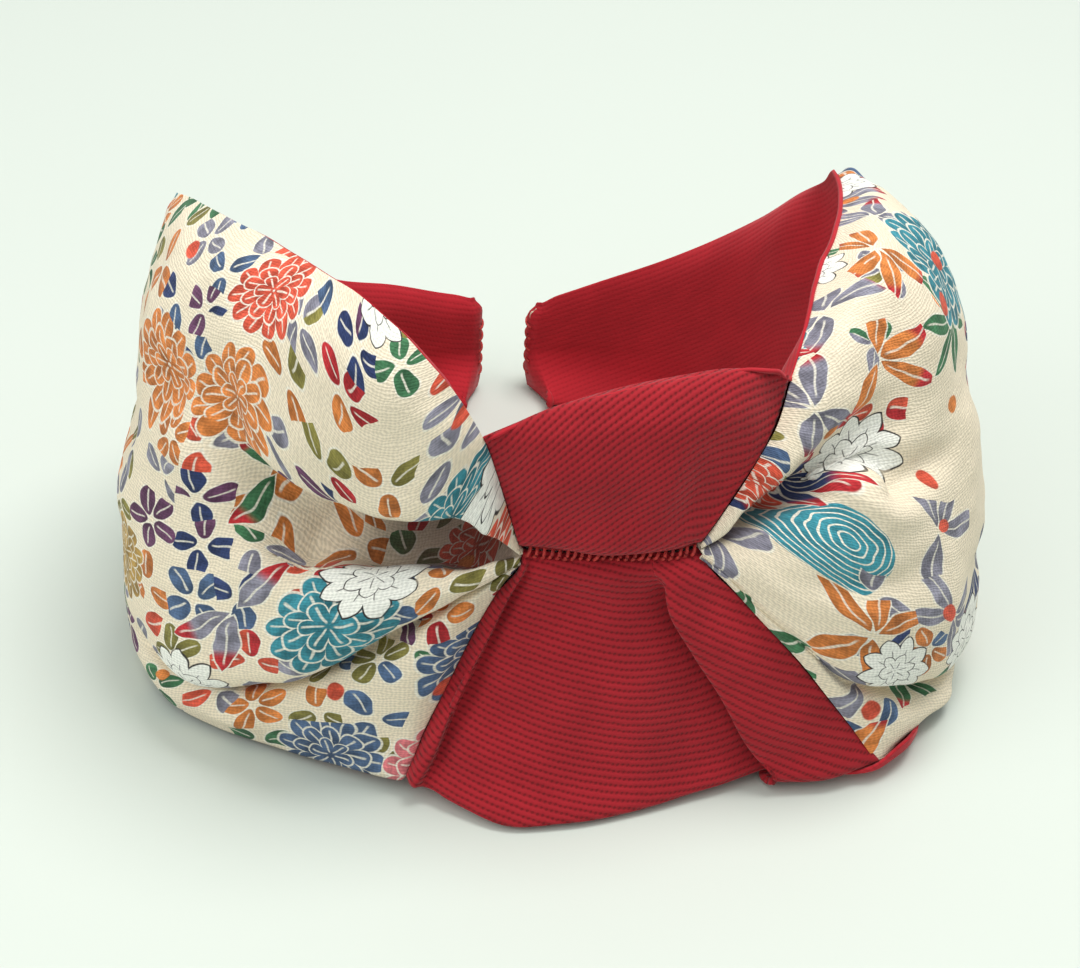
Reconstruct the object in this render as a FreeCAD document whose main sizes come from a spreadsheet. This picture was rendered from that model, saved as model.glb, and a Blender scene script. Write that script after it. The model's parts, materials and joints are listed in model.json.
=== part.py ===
"""Knotted headband: a springy C-shaped plastic core inside a puffed two-fabric sleeve.

The band lies on its edge. +Z is up, the knot faces -Y, the open ends meet at +Y, millimetres.
The sleeve is a printed outer fabric and a twill lining. At the front both edge seams are drawn
together by a row of whip stitches, so the lining rolls out above and below as two flaps and the
print stands out on either side as two puffed wings. Angle phi is measured in plan about the
centre of the head opening: 0 at the knot, positive towards +X, 180 at the gap between the tips.
"""
import FreeCAD, Part

import math
import os

import Sketcher
from FreeCAD import Placement, Rotation, Vector

Z_AXIS = Vector(0, 0, 1)

# Driving dimensions, millimetres and degrees.
SIZES = {
    "opening_x": 64.0,        # half width of the head opening, inside the lining
    "opening_y": 60.0,        # half depth of the head opening
    "centre_x": -1.8,
    "centre_y": 11.5,
    "lining_thick": 1.3,
    "layer_gap": 0.4,
    "core_thick": 1.6,
    "core_width": 18.0,
    "core_tilt": 15.0,        # the core's plane drops towards the tips
    "core_height": 27.0,      # height of the core's centre line, halfway back
    "print_thick": 1.2,
    "shoulder_rise": 0.72,    # outline of the puffed print, as shares of its height and puff
    "shoulder_reach": 0.66,
    "belly_rise": 0.30,
    "foot_reach": 0.80,
    "flex_phi": 57.0,         # where each arm's bending is lumped into one hinge
    "flex_notch": 12.0,       # half angle of the notch in the print that leaves room for it
    "flex_gap": 0.3,
    "left_tip": -8.5,
    "right_tip": 5.5,
    "reach": 130.0,           # cutting tools reach past the whole band
    "flap_thick": 1.4,
    "stitch_count": 13,
    "stitch_radius": 0.55,
    "stitch_length": 7.0,
    "stitch_height": 51.0,
    "stitch_first": -10.5,
    "stitch_last": 21.5,
    "stitch_front": -70.7,
    "stitch_bow": 1.2,
    "tip_stitch_count": 5,
    "tip_stitch_radius": 0.4,
    "tip_stitch_length": 4.0,
    "tip_stitch_low": 3.0,
    "tip_stitch_high": 17.0,
}

# Printed sleeve, one row for each radial section: phi, top seam height, lower edge height, puff.
PRINT_SECTIONS = {
    "left": [
        (-13, 64, 44, 7), (-20, 84, 19, 15), (-26, 92, 2, 21), (-35, 99, 0, 21), (-45, 101, 0, 24),
        (-57, 100, 0, 28), (-66, 98, 0, 27.5), (-76, 96, 0, 23), (-85, 92, 0, 16), (-95, 86, 0, 9.5),
        (-103, 78, 0, 8), (-110, 70, 0, 6.5), (-117, 62, 0, 5.5), (-124, 54, 0, 5), (-131, 46, 0, 4.5),
        (-139, 38, 0, 4), (-147, 34, 0, 3.4), (-155, 30, 0, 2.8), (-165, 26, 0, 2.4), (-176, 22, 0, 1.8),
    ],
    "right": [
        (21, 57, 46, 8), (26, 66, 34, 18), (32, 77, 18, 27), (38, 83, 1.5, 34), (46, 86, 0, 34),
        (57, 88, 0, 34), (66, 88, 0, 33), (75, 88, 0, 25), (85, 88, 0, 12), (95, 87, 0, 7),
        (103, 85, 0, 5), (110, 78, 0, 4.7), (117, 71, 0, 4.5), (127, 59, 0, 4), (134, 52, 0, 3.8),
        (140, 46, 0, 3.6), (146, 42, 0, 3.3), (153, 37, 0, 3), (162, 30, 0, 2.4), (171, 26, 0, 2.1),
        (180, 22, 0, 1.8),
    ],
}
PRINT_WORDS = ("phi", "top", "low", "puff")

# Flaps, one row for each level section: height, left end x and y, right end x and y, forward bow.
# Every x and y here is measured from the centre of the head opening.
FLAP_SECTIONS = {
    "upper_flap": [
        (53, -9.5, -68.5, 22, -69.5, 1), (66, -14, -68, 31, -66.5, 3),
        (78, -17.5, -67.5, 37.5, -61, 4), (86, -12, -64.5, 35, -59, 2),
    ],
    "lower_flap_panel": [
        (47, -6.5, -67, 14, -69.5, 1), (30, -14.5, -68.5, 20.5, -73, 2.5),
        (14, -21.5, -73.5, 29.5, -77, 6), (0, -25, -79, 37, -79, 9.4),
    ],
    "lower_flap_pleat": [
        (47, 15.5, -71, 25, -70.5, 0.5), (30, 22.5, -74.5, 39.5, -75, 1),
        (14, 31.5, -78.5, 51.5, -78.5, 1.5), (2.5, 39.5, -81.5, 59.5, -81.5, 1.5),
    ],
    "lower_flap_edge": [
        (47, -10.5, -68.5, -7.7, -68.7, 0.3), (38, -15.3, -70, -11.8, -70.5, 0.3),
        (24, -21.3, -73.5, -17.6, -74.5, 0.3), (12, -26.8, -77.5, -23, -78.5, 0.3),
        (3, -30.8, -80.5, -26.8, -82.5, 0.3),
    ],
}
FLAP_WORDS = ("rise", "ax", "ay", "bx", "by", "bow")
FLAP_SPANS = 4

# Top edge of each lining. The arms' rows are y and z seen from the side, the front's x and z,
# with y and x measured from the centre of the head opening.
LINING_TOPS = {
    "left": [(-73.5, 96), (-33.5, 99), (-7.5, 92), (6.5, 85), (46.5, 37), (76.5, 14)],
    "right": [(-73.5, 86), (-16.5, 87), (12.5, 85), (32.5, 65), (47.5, 45), (76.5, 6)],
    "front": [(-89, 98), (-37, 96), (-18, 80), (3, 83), (39, 85), (91, 87)],
}
LINING_WORDS = ("along", "edge")

doc = FreeCAD.newDocument("knotted_headband")
sheet = doc.addObject("Spreadsheet::Sheet", "Sizes")


def fill_sheet():
    """Write every driving dimension as a plain number in a cell with a name."""
    cells = list(SIZES.items())
    tables = [("print_" + side, PRINT_WORDS, rows) for side, rows in PRINT_SECTIONS.items()]
    tables += [(flap, FLAP_WORDS, rows) for flap, rows in FLAP_SECTIONS.items()]
    tables += [("lining_" + part, LINING_WORDS, rows) for part, rows in LINING_TOPS.items()]
    for name, words, rows in tables:
        for number, values in enumerate(rows, 1):
            for word, value in zip(words, values):
                cells.append(("%s_%s_%d" % (name, word, number), value))
    for row, (alias, value) in enumerate(cells, 1):
        sheet.set("A%d" % row, alias.replace("_", " "))
        sheet.set("B%d" % row, "%g" % value)
        sheet.setAlias("B%d" % row, alias)
    doc.recompute()


def cell(alias):
    """The words that stand for a named cell in an expression."""
    return "<<Sizes>>." + alias


def size(alias):
    """The number in a named cell."""
    return float(sheet.get(alias))


def bind(thing, prop, words, unit="mm"):
    """Bind a property to an expression in the sheet's cells."""
    thing.setExpression(prop, "(%s) * 1 %s" % (words, unit))


def place(thing, x_words="0", y_words="0", z_words="0"):
    """Bind an object's position to the sheet."""
    for axis, words in (("x", x_words), ("y", y_words), ("z", z_words)):
        bind(thing, "Placement.Base." + axis, words)


def evaluate(words):
    """The value of an expression in the sheet's cells, to draw a sketch near its solved shape."""
    return float(doc.Sizes.evalExpression(words))


def boolean(kind, name, base, tool):
    """Part::Cut or Part::Common of two objects."""
    result = doc.addObject(kind, name)
    result.Base = base
    result.Tool = tool
    return result


def keep(thing, node):
    """Name an object as one sub-part: its Label is the name of its file."""
    thing.Label = node
    nodes.append(thing)
    return thing


def draw_polygon(sketch, corners):
    """Draw a closed polygon from (x words, y words), every corner bound to the sheet."""
    count = len(corners)
    points = [Vector(evaluate(x_words), evaluate(y_words), 0) for x_words, y_words in corners]
    for index in range(count):
        sketch.addGeometry(Part.LineSegment(points[index], points[(index + 1) % count]))
    for index in range(count):
        sketch.addConstraint(Sketcher.Constraint("Coincident", index, 2, (index + 1) % count, 1))
    for index, words in enumerate(corners):
        for kind, value, text in (("DistanceX", points[index].x, words[0]),
                                  ("DistanceY", points[index].y, words[1])):
            number = sketch.addConstraint(Sketcher.Constraint(kind, -1, 1, index, 1, value))
            bind(sketch, "Constraints[%d]" % number, text)


def new_section(body, name, role):
    """A sketch on one of the body's own origin planes."""
    sketch = body.newObject("Sketcher::SketchObject", name)
    plane = next(item for item in body.Origin.OriginFeatures if item.Role == role)
    sketch.AttachmentSupport = [(plane, "")]
    sketch.MapMode = "FlatFace"
    return sketch


def loft(body, sections):
    """A ruled loft through a body's sections."""
    feature = body.newObject("PartDesign::AdditiveLoft", body.Name + "Loft")
    feature.Profile = sections[0]
    feature.Sections = sections[1:]
    feature.Ruled = True


def extruded_polygon(name, corners, rotation, base, direction, length_words):
    """A cutting tool: a polygon drawn on a turned plane and extruded along one axis."""
    sketch = doc.addObject("Sketcher::SketchObject", name + "Outline")
    sketch.Placement = Placement(Vector(0, 0, 0), rotation)
    place(sketch, *base)
    draw_polygon(sketch, corners)
    solid = doc.addObject("Part::Extrusion", name)
    solid.Base = sketch
    solid.DirMode = "Custom"
    solid.Dir = direction
    solid.Solid = True
    bind(solid, "LengthFwd", length_words)
    return solid


def opening_radius(phi_words):
    """Words for the radius of the head opening's ellipse at an angle."""
    wide = cell("opening_x")
    deep = cell("opening_y")
    return "{w} * {d} / sqrt(({d} * sin({p} * 1 deg))^2 + ({w} * cos({p} * 1 deg))^2)".format(
        w=wide, d=deep, p=phi_words)


def hinge_corner(side, sign, turn_words="0", along_words="0"):
    """Words for a point near a flexure: on the core's outer face, moved back across the slit
    by the gap times sign, then outwards along a direction turned from the radius."""
    phi = cell("flex_phi")
    radius = "(%s + %s + %s + %s)" % (opening_radius(phi), cell("lining_thick"), cell("layer_gap"),
                                      cell("core_thick"))
    gap = "%d * %s" % (sign, cell("flex_gap"))
    turned = "(%s + %s) * 1 deg" % (phi, turn_words)
    x_words = "%s + %d * (%s * sin(%s * 1 deg) + %s * cos(%s * 1 deg) + %s * sin(%s))" % (
        cell("centre_x"), side, radius, phi, gap, phi, along_words, turned)
    y_words = "%s - %s * cos(%s * 1 deg) + %s * sin(%s * 1 deg) - %s * cos(%s)" % (
        cell("centre_y"), radius, phi, gap, phi, along_words, turned)
    return x_words, y_words


def centre_corner(side, sign):
    """Words for the head opening's centre, moved back across a flexure's slit."""
    phi = cell("flex_phi")
    gap = "%d * %s" % (sign, cell("flex_gap"))
    x_words = "%s + %d * %s * cos(%s * 1 deg)" % (cell("centre_x"), side, gap, phi)
    y_words = "%s + %s * sin(%s * 1 deg)" % (cell("centre_y"), gap, phi)
    return x_words, y_words


def front_region():
    """Everything ahead of both flexures, in plan."""
    far = cell("reach")
    notch = "(0 - %s)" % cell("flex_notch")
    corners = [
        (cell("centre_x"), cell("centre_y") + " - " + cell("flex_gap")),
        hinge_corner(1, -1), hinge_corner(1, -1, notch, far),
        (far, "0 - " + far), ("0 - " + far, "0 - " + far),
        hinge_corner(-1, -1, notch, far), hinge_corner(-1, -1),
    ]
    return extruded_polygon("FrontRegion", corners, Rotation(), ("0", "0", "0 - 1"), Z_AXIS, far)


def arm_region(side, word):
    """Everything behind one flexure, up to that arm's tip, in plan."""
    far = cell("reach")
    tip = cell("centre_x") + " + " + cell(word + "_tip")
    corners = [
        centre_corner(side, 1), hinge_corner(side, 1),
        hinge_corner(side, 1, cell("flex_notch"), far),
        ("%d * %s" % (side, far), far), (tip, far), (tip, cell("centre_y") + " + 6"),
    ]
    name = word.capitalize() + "Region"
    return extruded_polygon(name, corners, Rotation(), ("0", "0", "0 - 1"), Z_AXIS, far)


def elliptic_prism(name, outset_words):
    """An upright prism whose plan is the head opening's ellipse, grown outwards."""
    rim = doc.addObject("Part::Ellipse", name + "Rim")
    bind(rim, "MajorRadius", cell("opening_x") + " + " + outset_words)
    bind(rim, "MinorRadius", cell("opening_y") + " + " + outset_words)
    place(rim, cell("centre_x"), cell("centre_y"))
    prism = doc.addObject("Part::Extrusion", name)
    prism.Base = rim
    prism.DirMode = "Custom"
    prism.Dir = Z_AXIS
    prism.Solid = True
    bind(prism, "LengthFwd", cell("reach"))
    return prism


def build_core(regions):
    """The springy strip: a slanted slice of an elliptic ring, in three lengths."""
    inner = "%s + %s" % (cell("lining_thick"), cell("layer_gap"))
    ring = boolean("Part::Cut", "CoreRing",
                   elliptic_prism("CoreOuter", inner + " + " + cell("core_thick")),
                   elliptic_prism("CoreInner", inner))
    slab = doc.addObject("Part::Box", "CoreSlab")
    tilt = size("core_tilt")
    slab.Placement = Placement(Vector(0, 0, 0), Rotation(Vector(1, 0, 0), -tilt))
    for prop in ("Length", "Width"):
        bind(slab, prop, "2 * " + cell("reach"))
    bind(slab, "Height", cell("core_width"))
    lean = cell("core_tilt") + " * 1 deg"
    half = cell("core_width") + " / 2"
    place(slab, "0 - " + cell("reach"),
          "%s - %s * cos(%s) - %s * sin(%s)" % (cell("centre_y"), cell("reach"), lean, half, lean),
          "%s + %s * sin(%s) - %s * cos(%s)" % (cell("core_height"), cell("reach"), lean, half, lean))
    strip = boolean("Part::Common", "CoreStrip", ring, slab)
    for word, region in regions.items():
        keep(boolean("Part::Common", "Core" + word.capitalize(), strip, region), "core_band_" + word)


def build_linings(regions):
    """The twill lining: an upright elliptic wall, trimmed along the top seam."""
    wall = boolean("Part::Cut", "LiningRing", elliptic_prism("LiningOuter", cell("lining_thick")),
                   elliptic_prism("LiningInner", "0"))
    side_view = Rotation(Vector(1, 1, 1), 120)
    front_view = Rotation(Vector(1, 0, 0), 90)
    low = "0 - 5"
    for word, region in regions.items():
        middle = cell("centre_x") if word == "front" else cell("centre_y")
        edge = [("%s + %s" % (middle, cell("lining_%s_along_%d" % (word, row))),
                 cell("lining_%s_edge_%d" % (word, row)))
                for row in range(1, len(LINING_TOPS[word]) + 1)]
        corners = edge + [(edge[-1][0], low), (edge[0][0], low)]
        away = "0 - " + cell("reach")
        if word == "front":
            base = ("0", cell("reach"), "0")
            view, direction = front_view, Vector(0, -1, 0)
        else:
            base = (away, "0", "0")
            view, direction = side_view, Vector(1, 0, 0)
        trim = extruded_polygon("LiningTrim" + word.capitalize(), corners, view, base, direction,
                                "2 * " + cell("reach"))
        piece = boolean("Part::Common", "LiningSector" + word.capitalize(), wall, region)
        keep(boolean("Part::Common", "Lining" + word.capitalize(), piece, trim), "lining_" + word)


def print_section(body, side, number):
    """One radial section of the printed sleeve: a thin band from the top seam, over the
    shoulder and the belly, to the foot and back under to the core."""
    word = "print_%s_%%s_%d" % (side, number)
    phi = cell(word % "phi")
    puff = cell(word % "puff")
    top = cell(word % "top")
    low = cell(word % "low")
    thick = cell("print_thick")
    inner = "(%s + %s + 2 * %s + %s)" % (opening_radius(phi), cell("lining_thick"),
                                         cell("layer_gap"), cell("core_thick"))
    outline = [("0", "1"), (cell("shoulder_reach"), cell("shoulder_rise")), ("1", cell("belly_rise")),
               (cell("foot_reach"), "0"), ("0", "0")]
    outer = [("%s + %s * %s" % (inner, reach, puff), "%s + %s * (%s - %s)" % (low, rise, top, low))
             for reach, rise in outline]
    lined = [("%s + %s * (%s - %s)" % (inner, reach, puff, thick),
              "%s + %s + %s * (%s - %s - 2 * %s)" % (low, thick, rise, top, low, thick))
             for reach, rise in reversed(outline)]
    sketch = new_section(body, "%sSection%d" % (body.Name, number), "XZ_Plane")
    turn = size(word % "phi") - 90
    sketch.AttachmentOffset = Placement(Vector(size("centre_x"), 0, -size("centre_y")),
                                        Rotation(Vector(0, 1, 0), turn))
    sketch.setExpression(".AttachmentOffset.Rotation.Angle", "(%s - 90) * 1 deg" % phi)
    bind(sketch, ".AttachmentOffset.Base.x", cell("centre_x"))
    bind(sketch, ".AttachmentOffset.Base.z", "0 - " + cell("centre_y"))
    draw_polygon(sketch, outer + lined)
    return sketch


def build_prints(regions):
    """The printed sleeve: one loft a side, parted at the flexure into a wing and an arm."""
    for side, rows in PRINT_SECTIONS.items():
        body = doc.addObject("PartDesign::Body", "Print" + side.capitalize())
        sections = [print_section(body, side, number) for number in range(1, len(rows) + 1)]
        loft(body, sections)
        wing = boolean("Part::Common", body.Name + "Wing", body, regions["front"])
        keep(wing, "print_wing_" + side)
        arm = boolean("Part::Common", body.Name + "Arm", body, regions[side])
        keep(arm, "print_arm_" + side)


def flap_section(body, flap, number):
    """One level section of a flap: a thin band bowed forwards between two ends."""
    word = "%s_%%s_%d" % (flap, number)
    start_x, start_y, end_x, end_y, bow = (cell(word % part) for part in FLAP_WORDS[1:])
    front = []
    back = []
    for step in range(FLAP_SPANS + 1):
        share = step / FLAP_SPANS
        x_words = "%s + %s + %g * (%s - %s)" % (cell("centre_x"), start_x, share, end_x, start_x)
        y_words = "%s + %s + %g * (%s - %s) - %g * %s" % (
            cell("centre_y"), start_y, share, end_y, start_y, 4 * share * (1 - share), bow)
        front.append((x_words, y_words))
        back.append((x_words, y_words + " + " + cell("flap_thick")))
    sketch = new_section(body, "%sSection%d" % (body.Name, number), "XY_Plane")
    sketch.AttachmentOffset = Placement(Vector(0, 0, size(word % "rise")), Rotation())
    bind(sketch, ".AttachmentOffset.Base.z", cell(word % "rise"))
    draw_polygon(sketch, front + back[::-1])
    return sketch


def build_flaps():
    """The lining where it rolls out of the pinched front: above, below, and the pleat beside."""
    for flap, rows in FLAP_SECTIONS.items():
        name = "".join(word.capitalize() for word in flap.split("_"))
        body = doc.addObject("PartDesign::Body", name)
        loft(body, [flap_section(body, flap, number) for number in range(1, len(rows) + 1)])
        keep(body, flap)


def stitch(name, radius, length, rotation):
    """One thread loop, drawn as a short cylinder."""
    thread = doc.addObject("Part::Cylinder", name)
    bind(thread, "Radius", cell(radius))
    bind(thread, "Height", cell(length))
    thread.Placement = Placement(Vector(0, 0, 0), rotation)
    return thread


def build_knot_stitches():
    """The whip stitches that draw the two edge seams together at the front."""
    count = int(size("stitch_count"))
    threads = []
    for index in range(count):
        share = index / (count - 1)
        thread = stitch("KnotStitch%d" % index, "stitch_radius", "stitch_length", Rotation())
        place(thread, "%s + %s + %g * (%s - %s)" % (cell("centre_x"), cell("stitch_first"), share,
                                                    cell("stitch_last"), cell("stitch_first")),
              "%s + %s - %g * %s" % (cell("centre_y"), cell("stitch_front"),
                                     4 * share * (1 - share), cell("stitch_bow")),
              "%s - %s / 2" % (cell("stitch_height"), cell("stitch_length")))
        threads.append(thread)
    group = doc.addObject("Part::Compound", "KnotStitches")
    group.Links = threads
    keep(group, "knot_stitches")


def build_tip_stitches():
    """The small stitches that close each end of the sleeve over the core's tip."""
    count = int(size("tip_stitch_count"))
    for word, side in (("left", 1), ("right", -1)):
        threads = []
        for index in range(count):
            share = index / (count - 1)
            thread = stitch("TipStitch%s%d" % (word.capitalize(), index), "tip_stitch_radius",
                            "tip_stitch_length", Rotation(Vector(1, 0, 0), -90))
            place(thread, "%s + %s + %g * %s" % (cell("centre_x"), cell(word + "_tip"), 1.1 * side,
                                                 cell("tip_stitch_radius")),
                  "%s + %s" % (cell("centre_y"), cell("opening_y")),
                  "%s + %g * (%s - %s)" % (cell("tip_stitch_low"), share, cell("tip_stitch_high"),
                                           cell("tip_stitch_low")))
            threads.append(thread)
        group = doc.addObject("Part::Compound", "TipStitches" + word.capitalize())
        group.Links = threads
        keep(group, "tip_stitches_" + word)


def check_and_write():
    """Stop on any failed object or shape, then write one file for each sub-part."""
    doc.recompute()
    for thing in doc.Objects:
        if "Invalid" in thing.State or "Error" in thing.State:
            raise RuntimeError("%s failed: %s" % (thing.Name, thing.State))
    os.makedirs("parts", exist_ok=True)
    whole = FreeCAD.BoundBox()
    for node in nodes:
        shape = node.Shape
        if shape.isNull() or not shape.isValid() or not shape.Solids:
            raise RuntimeError("%s has no valid solid" % node.Label)
        whole.add(shape.BoundBox)
        shape.exportStep("parts/%s.step" % node.Label)
        print("%-18s %8.1f mm3  %d solids" % (node.Label, shape.Volume, len(shape.Solids)))
    print("x %.2f..%.2f  y %.2f..%.2f  z %.2f..%.2f" % (whole.XMin, whole.XMax, whole.YMin,
                                                       whole.YMax, whole.ZMin, whole.ZMax))
    flex = math.radians(size("flex_phi"))
    radius = (size("opening_x") * size("opening_y")
              / math.hypot(size("opening_y") * math.sin(flex), size("opening_x") * math.cos(flex))
              + size("lining_thick") + size("layer_gap") + size("core_thick"))
    print("flexures at x %.3f and %.3f, y %.3f" % (
        size("centre_x") - radius * math.sin(flex), size("centre_x") + radius * math.sin(flex),
        size("centre_y") - radius * math.cos(flex)))


nodes = []
fill_sheet()
plan_regions = {"front": front_region(), "left": arm_region(-1, "left"), "right": arm_region(1, "right")}
build_core(plan_regions)
build_linings(plan_regions)
build_prints(plan_regions)
build_flaps()
build_knot_stitches()
build_tip_stitches()
check_and_write()
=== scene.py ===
"""Looks for the knotted headband: printed crepe outside, twill lining, whip-stitched front.

Shapes are worked out in millimetres around the centre of the head opening: an angle phi in
plan (0 at the knot, positive towards +X), a radius and a height. Cloth is built as grids
between a top seam and a hem, and each grid is turned into one mesh in metres.
"""
import json
import math

import bpy
import numpy as np
from mathutils import Matrix, Vector


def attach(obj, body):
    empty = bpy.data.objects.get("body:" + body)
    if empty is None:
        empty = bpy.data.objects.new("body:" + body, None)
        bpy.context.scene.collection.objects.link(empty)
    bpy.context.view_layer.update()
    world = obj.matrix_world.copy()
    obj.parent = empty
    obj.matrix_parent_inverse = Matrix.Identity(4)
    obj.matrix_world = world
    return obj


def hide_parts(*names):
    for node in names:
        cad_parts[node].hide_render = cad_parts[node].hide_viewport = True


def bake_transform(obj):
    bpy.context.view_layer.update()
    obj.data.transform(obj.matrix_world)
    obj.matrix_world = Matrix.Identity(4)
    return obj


MM = 0.001
HEAD_OPENING = (64, 60)
LINING_INSET = 0.3
PRINT_THICKNESS = 0.6
TWILL_THICKNESS = 0.7
# Mean radii that turn an angle into a length of cloth.
PRINT_RADIUS = 80
LINING_RADIUS = 62
# Rows of mesh between two rails, and the rail of the print where its cloth pattern is centred.
PRINT_ROWS = 14
LINING_ROWS = 10
BELLY_RAIL = 7
# Sewn arm ends: the degrees over which print and lining close, how far beyond the lining's wall
# they meet, how much of the way they are drawn there, the degrees over which the corners are
# rounded, and how much further the lining reaches than the print.
TIP_CLOSING = 2.8
TIP_SEAM = 1.6
TIP_DRAWN = 0.92
TIP_ROUNDING = 7
TIP_WRAP = 0.5
# On the arms the print's top edge stays this far outside the lining's wall and this far below the
# lining's rim, and the foot of the wall slopes inward by up to the flare.
ARM_GAP = 1.5
ARM_DROP = 0.9
ARM_FLARE = 9.5

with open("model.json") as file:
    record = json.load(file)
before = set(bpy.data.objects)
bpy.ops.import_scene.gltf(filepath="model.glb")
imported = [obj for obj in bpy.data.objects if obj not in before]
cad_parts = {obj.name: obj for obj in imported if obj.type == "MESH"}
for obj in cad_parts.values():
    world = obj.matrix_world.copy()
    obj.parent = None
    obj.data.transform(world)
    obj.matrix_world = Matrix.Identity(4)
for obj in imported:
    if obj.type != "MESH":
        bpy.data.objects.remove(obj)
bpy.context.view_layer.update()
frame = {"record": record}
mounts = {mount["name"]: mount for mount in frame["record"]["mounts"]}
CENTRE = np.array(mounts["head_seat"]["pos_m"][:2]) / MM


# ---------------------------------------------------------------- shared maths

def hermite(knots, values, where, tight=False):
    """Smooth curve through values at knots, read at where. Values may have several columns.
    A tight curve never goes beyond the values on either side, so its corners stay sharp."""
    knots = np.asarray(knots, float)
    values = np.asarray(values, float)
    where = np.clip(where, knots[0], knots[-1])
    step = np.diff(knots)
    slope = np.diff(values, axis=0) / step.reshape(-1, *([1] * (values.ndim - 1)))
    tangent = np.empty_like(values)
    tangent[0] = slope[0]
    tangent[-1] = slope[-1]
    before = step[:-1].reshape(-1, *([1] * (values.ndim - 1)))
    after = step[1:].reshape(-1, *([1] * (values.ndim - 1)))
    if tight:
        product = slope[:-1] * slope[1:]
        total = slope[:-1] + slope[1:]
        tangent[1:-1] = np.where(product > 0, 2 * product / np.where(total == 0, 1, total), 0)
    else:
        tangent[1:-1] = (slope[:-1] * after + slope[1:] * before) / (before + after)
    index = np.clip(np.searchsorted(knots, where, side="right") - 1, 0, len(step) - 1)
    share = (where - knots[index]) / step[index]
    shape = share.shape + (1,) * (values.ndim - 1)
    s = share.reshape(shape)
    width = step[index].reshape(shape)
    return ((2 * s**3 - 3 * s**2 + 1) * values[index] + (s**3 - 2 * s**2 + s) * width * tangent[index]
            + (3 * s**2 - 2 * s**3) * values[index + 1] + (s**3 - s**2) * width * tangent[index + 1])


def polar(phi, radius, height):
    """Points in millimetres from angle in degrees, radius and height."""
    turn = np.radians(phi)
    return np.stack([CENTRE[0] + radius * np.sin(turn), CENTRE[1] - radius * np.cos(turn),
                     height + 0 * turn], axis=-1)


def smoothstep(low, high, value):
    share = np.clip((value - low) / (high - low), 0, 1)
    return share * share * (3 - 2 * share)


def bump(value, centre, width):
    return np.exp(-((value - centre) / width) ** 2)


# ---------------------------------------------------------------- the band's governing curves

# Top seam, where print and lining meet: phi, radius, height. The sharp corner of each wing is
# where the seam turns down towards the arm.
TOP_LEFT = [
    (-9.2, 68.4, 51.5), (-12.1, 68, 63), (-15.7, 69.7, 78), (-22.6, 70.5, 91), (-30, 69, 97.5),
    (-40, 67.2, 101), (-50, 66, 101), (-58, 66, 100.5), (-70, 67.6, 98), (-84, 70.8, 93),
    (-95, 74.6, 86.5), (-103, 73.5, 78), (-110, 71.5, 70), (-124, 67, 54), (-140, 63.5, 38),
    (-154, 62.5, 31.5), (-165, 61.5, 27), (-176, 61, 24),
]
TOP_RIGHT = [
    (18.7, 71.8, 52.5), (22, 71.7, 58.2), (25, 71.6, 63.4), (30, 71.3, 72.5), (36, 67.8, 81.5),
    (40, 65.5, 84.5), (47, 61.5, 87), (54, 58.5, 88.5), (62, 57, 90), (72, 57, 90), (84, 58, 89),
    (95, 60, 87.5), (102, 61.6, 86), (109, 63.5, 79), (117, 64.5, 71), (127, 64, 59), (140, 62.6, 46),
    (150, 61.4, 38), (161, 60.5, 31), (169, 60.2, 26.5), (178, 60.4, 22),
]
# Fold where the lining rolls over the front, from seam to seam.
CREST = [
    (-15.7, 69.7, 78), (-11, 68.3, 80.8), (-5, 66.3, 83), (1.5, 65, 85), (9.5, 64.6, 86.5),
    (18, 65, 87), (26, 66.4, 87), (32, 68.2, 85.5), (36, 67.8, 81.5),
]
# Lower edge of the print: the seam beside the lower flap, then the fold that the wing rests on.
HEM_LEFT = [
    (-9.2, 68.3, 48.4), (-12.1, 69.4, 43.2), (-15.7, 71.8, 33.5), (-18.4, 75.7, 24), (-21.5, 81, 12),
    (-22.8, 84.5, 3.6), (-30, 84.7, 3), (-40, 86.3, 2), (-50, 90.5, 1.8), (-58, 93.3, 2), (-70, 88.5, 1.5),
    (-84, 81, 1.2), (-95, 75.5, 1), (-110, 72, 1), (-124, 69.5, 1), (-140, 67.5, 1), (-154, 66.5, 1),
    (-176, 65.5, 1),
]
HEM_RIGHT = [
    (18.7, 73, 50), (22, 76.3, 45), (25, 80, 39.2), (30, 86.6, 28.8), (33, 90.8, 20.6),
    (36, 94.6, 12), (38.5, 99.2, 4), (42, 98.6, 4.6), (47, 98, 3.4), (54, 96.5, 1.6), (62, 91.5, 1.2),
    (72, 84.5, 1), (84, 76, 1), (95, 70, 1), (102, 68.5, 1), (117, 67.5, 1), (140, 66.5, 1), (178, 65.5, 1),
]
# Outer edge of the lining's base, under the print.
BASE_LEFT = [
    (-9, 66, 1.4), (-22, 80, 1.2), (-30, 81.5, 1), (-40, 83, 0.9), (-50, 87, 0.9), (-58, 89.8, 0.9),
    (-70, 85.5, 0.8), (-95, 74, 0.7), (-124, 68.5, 0.7), (-176, 65, 0.7),
]
BASE_RIGHT = [
    (18, 70, 1.4), (30, 88, 1.4), (38.5, 99.8, 2.2), (42, 99.9, 2), (46, 98.6, 1.6), (50, 95.5, 1.1),
    (56, 91, 0.9), (72, 83, 0.8), (95, 68.5, 0.7), (140, 65.5, 0.7), (178, 65, 0.7),
]

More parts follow.
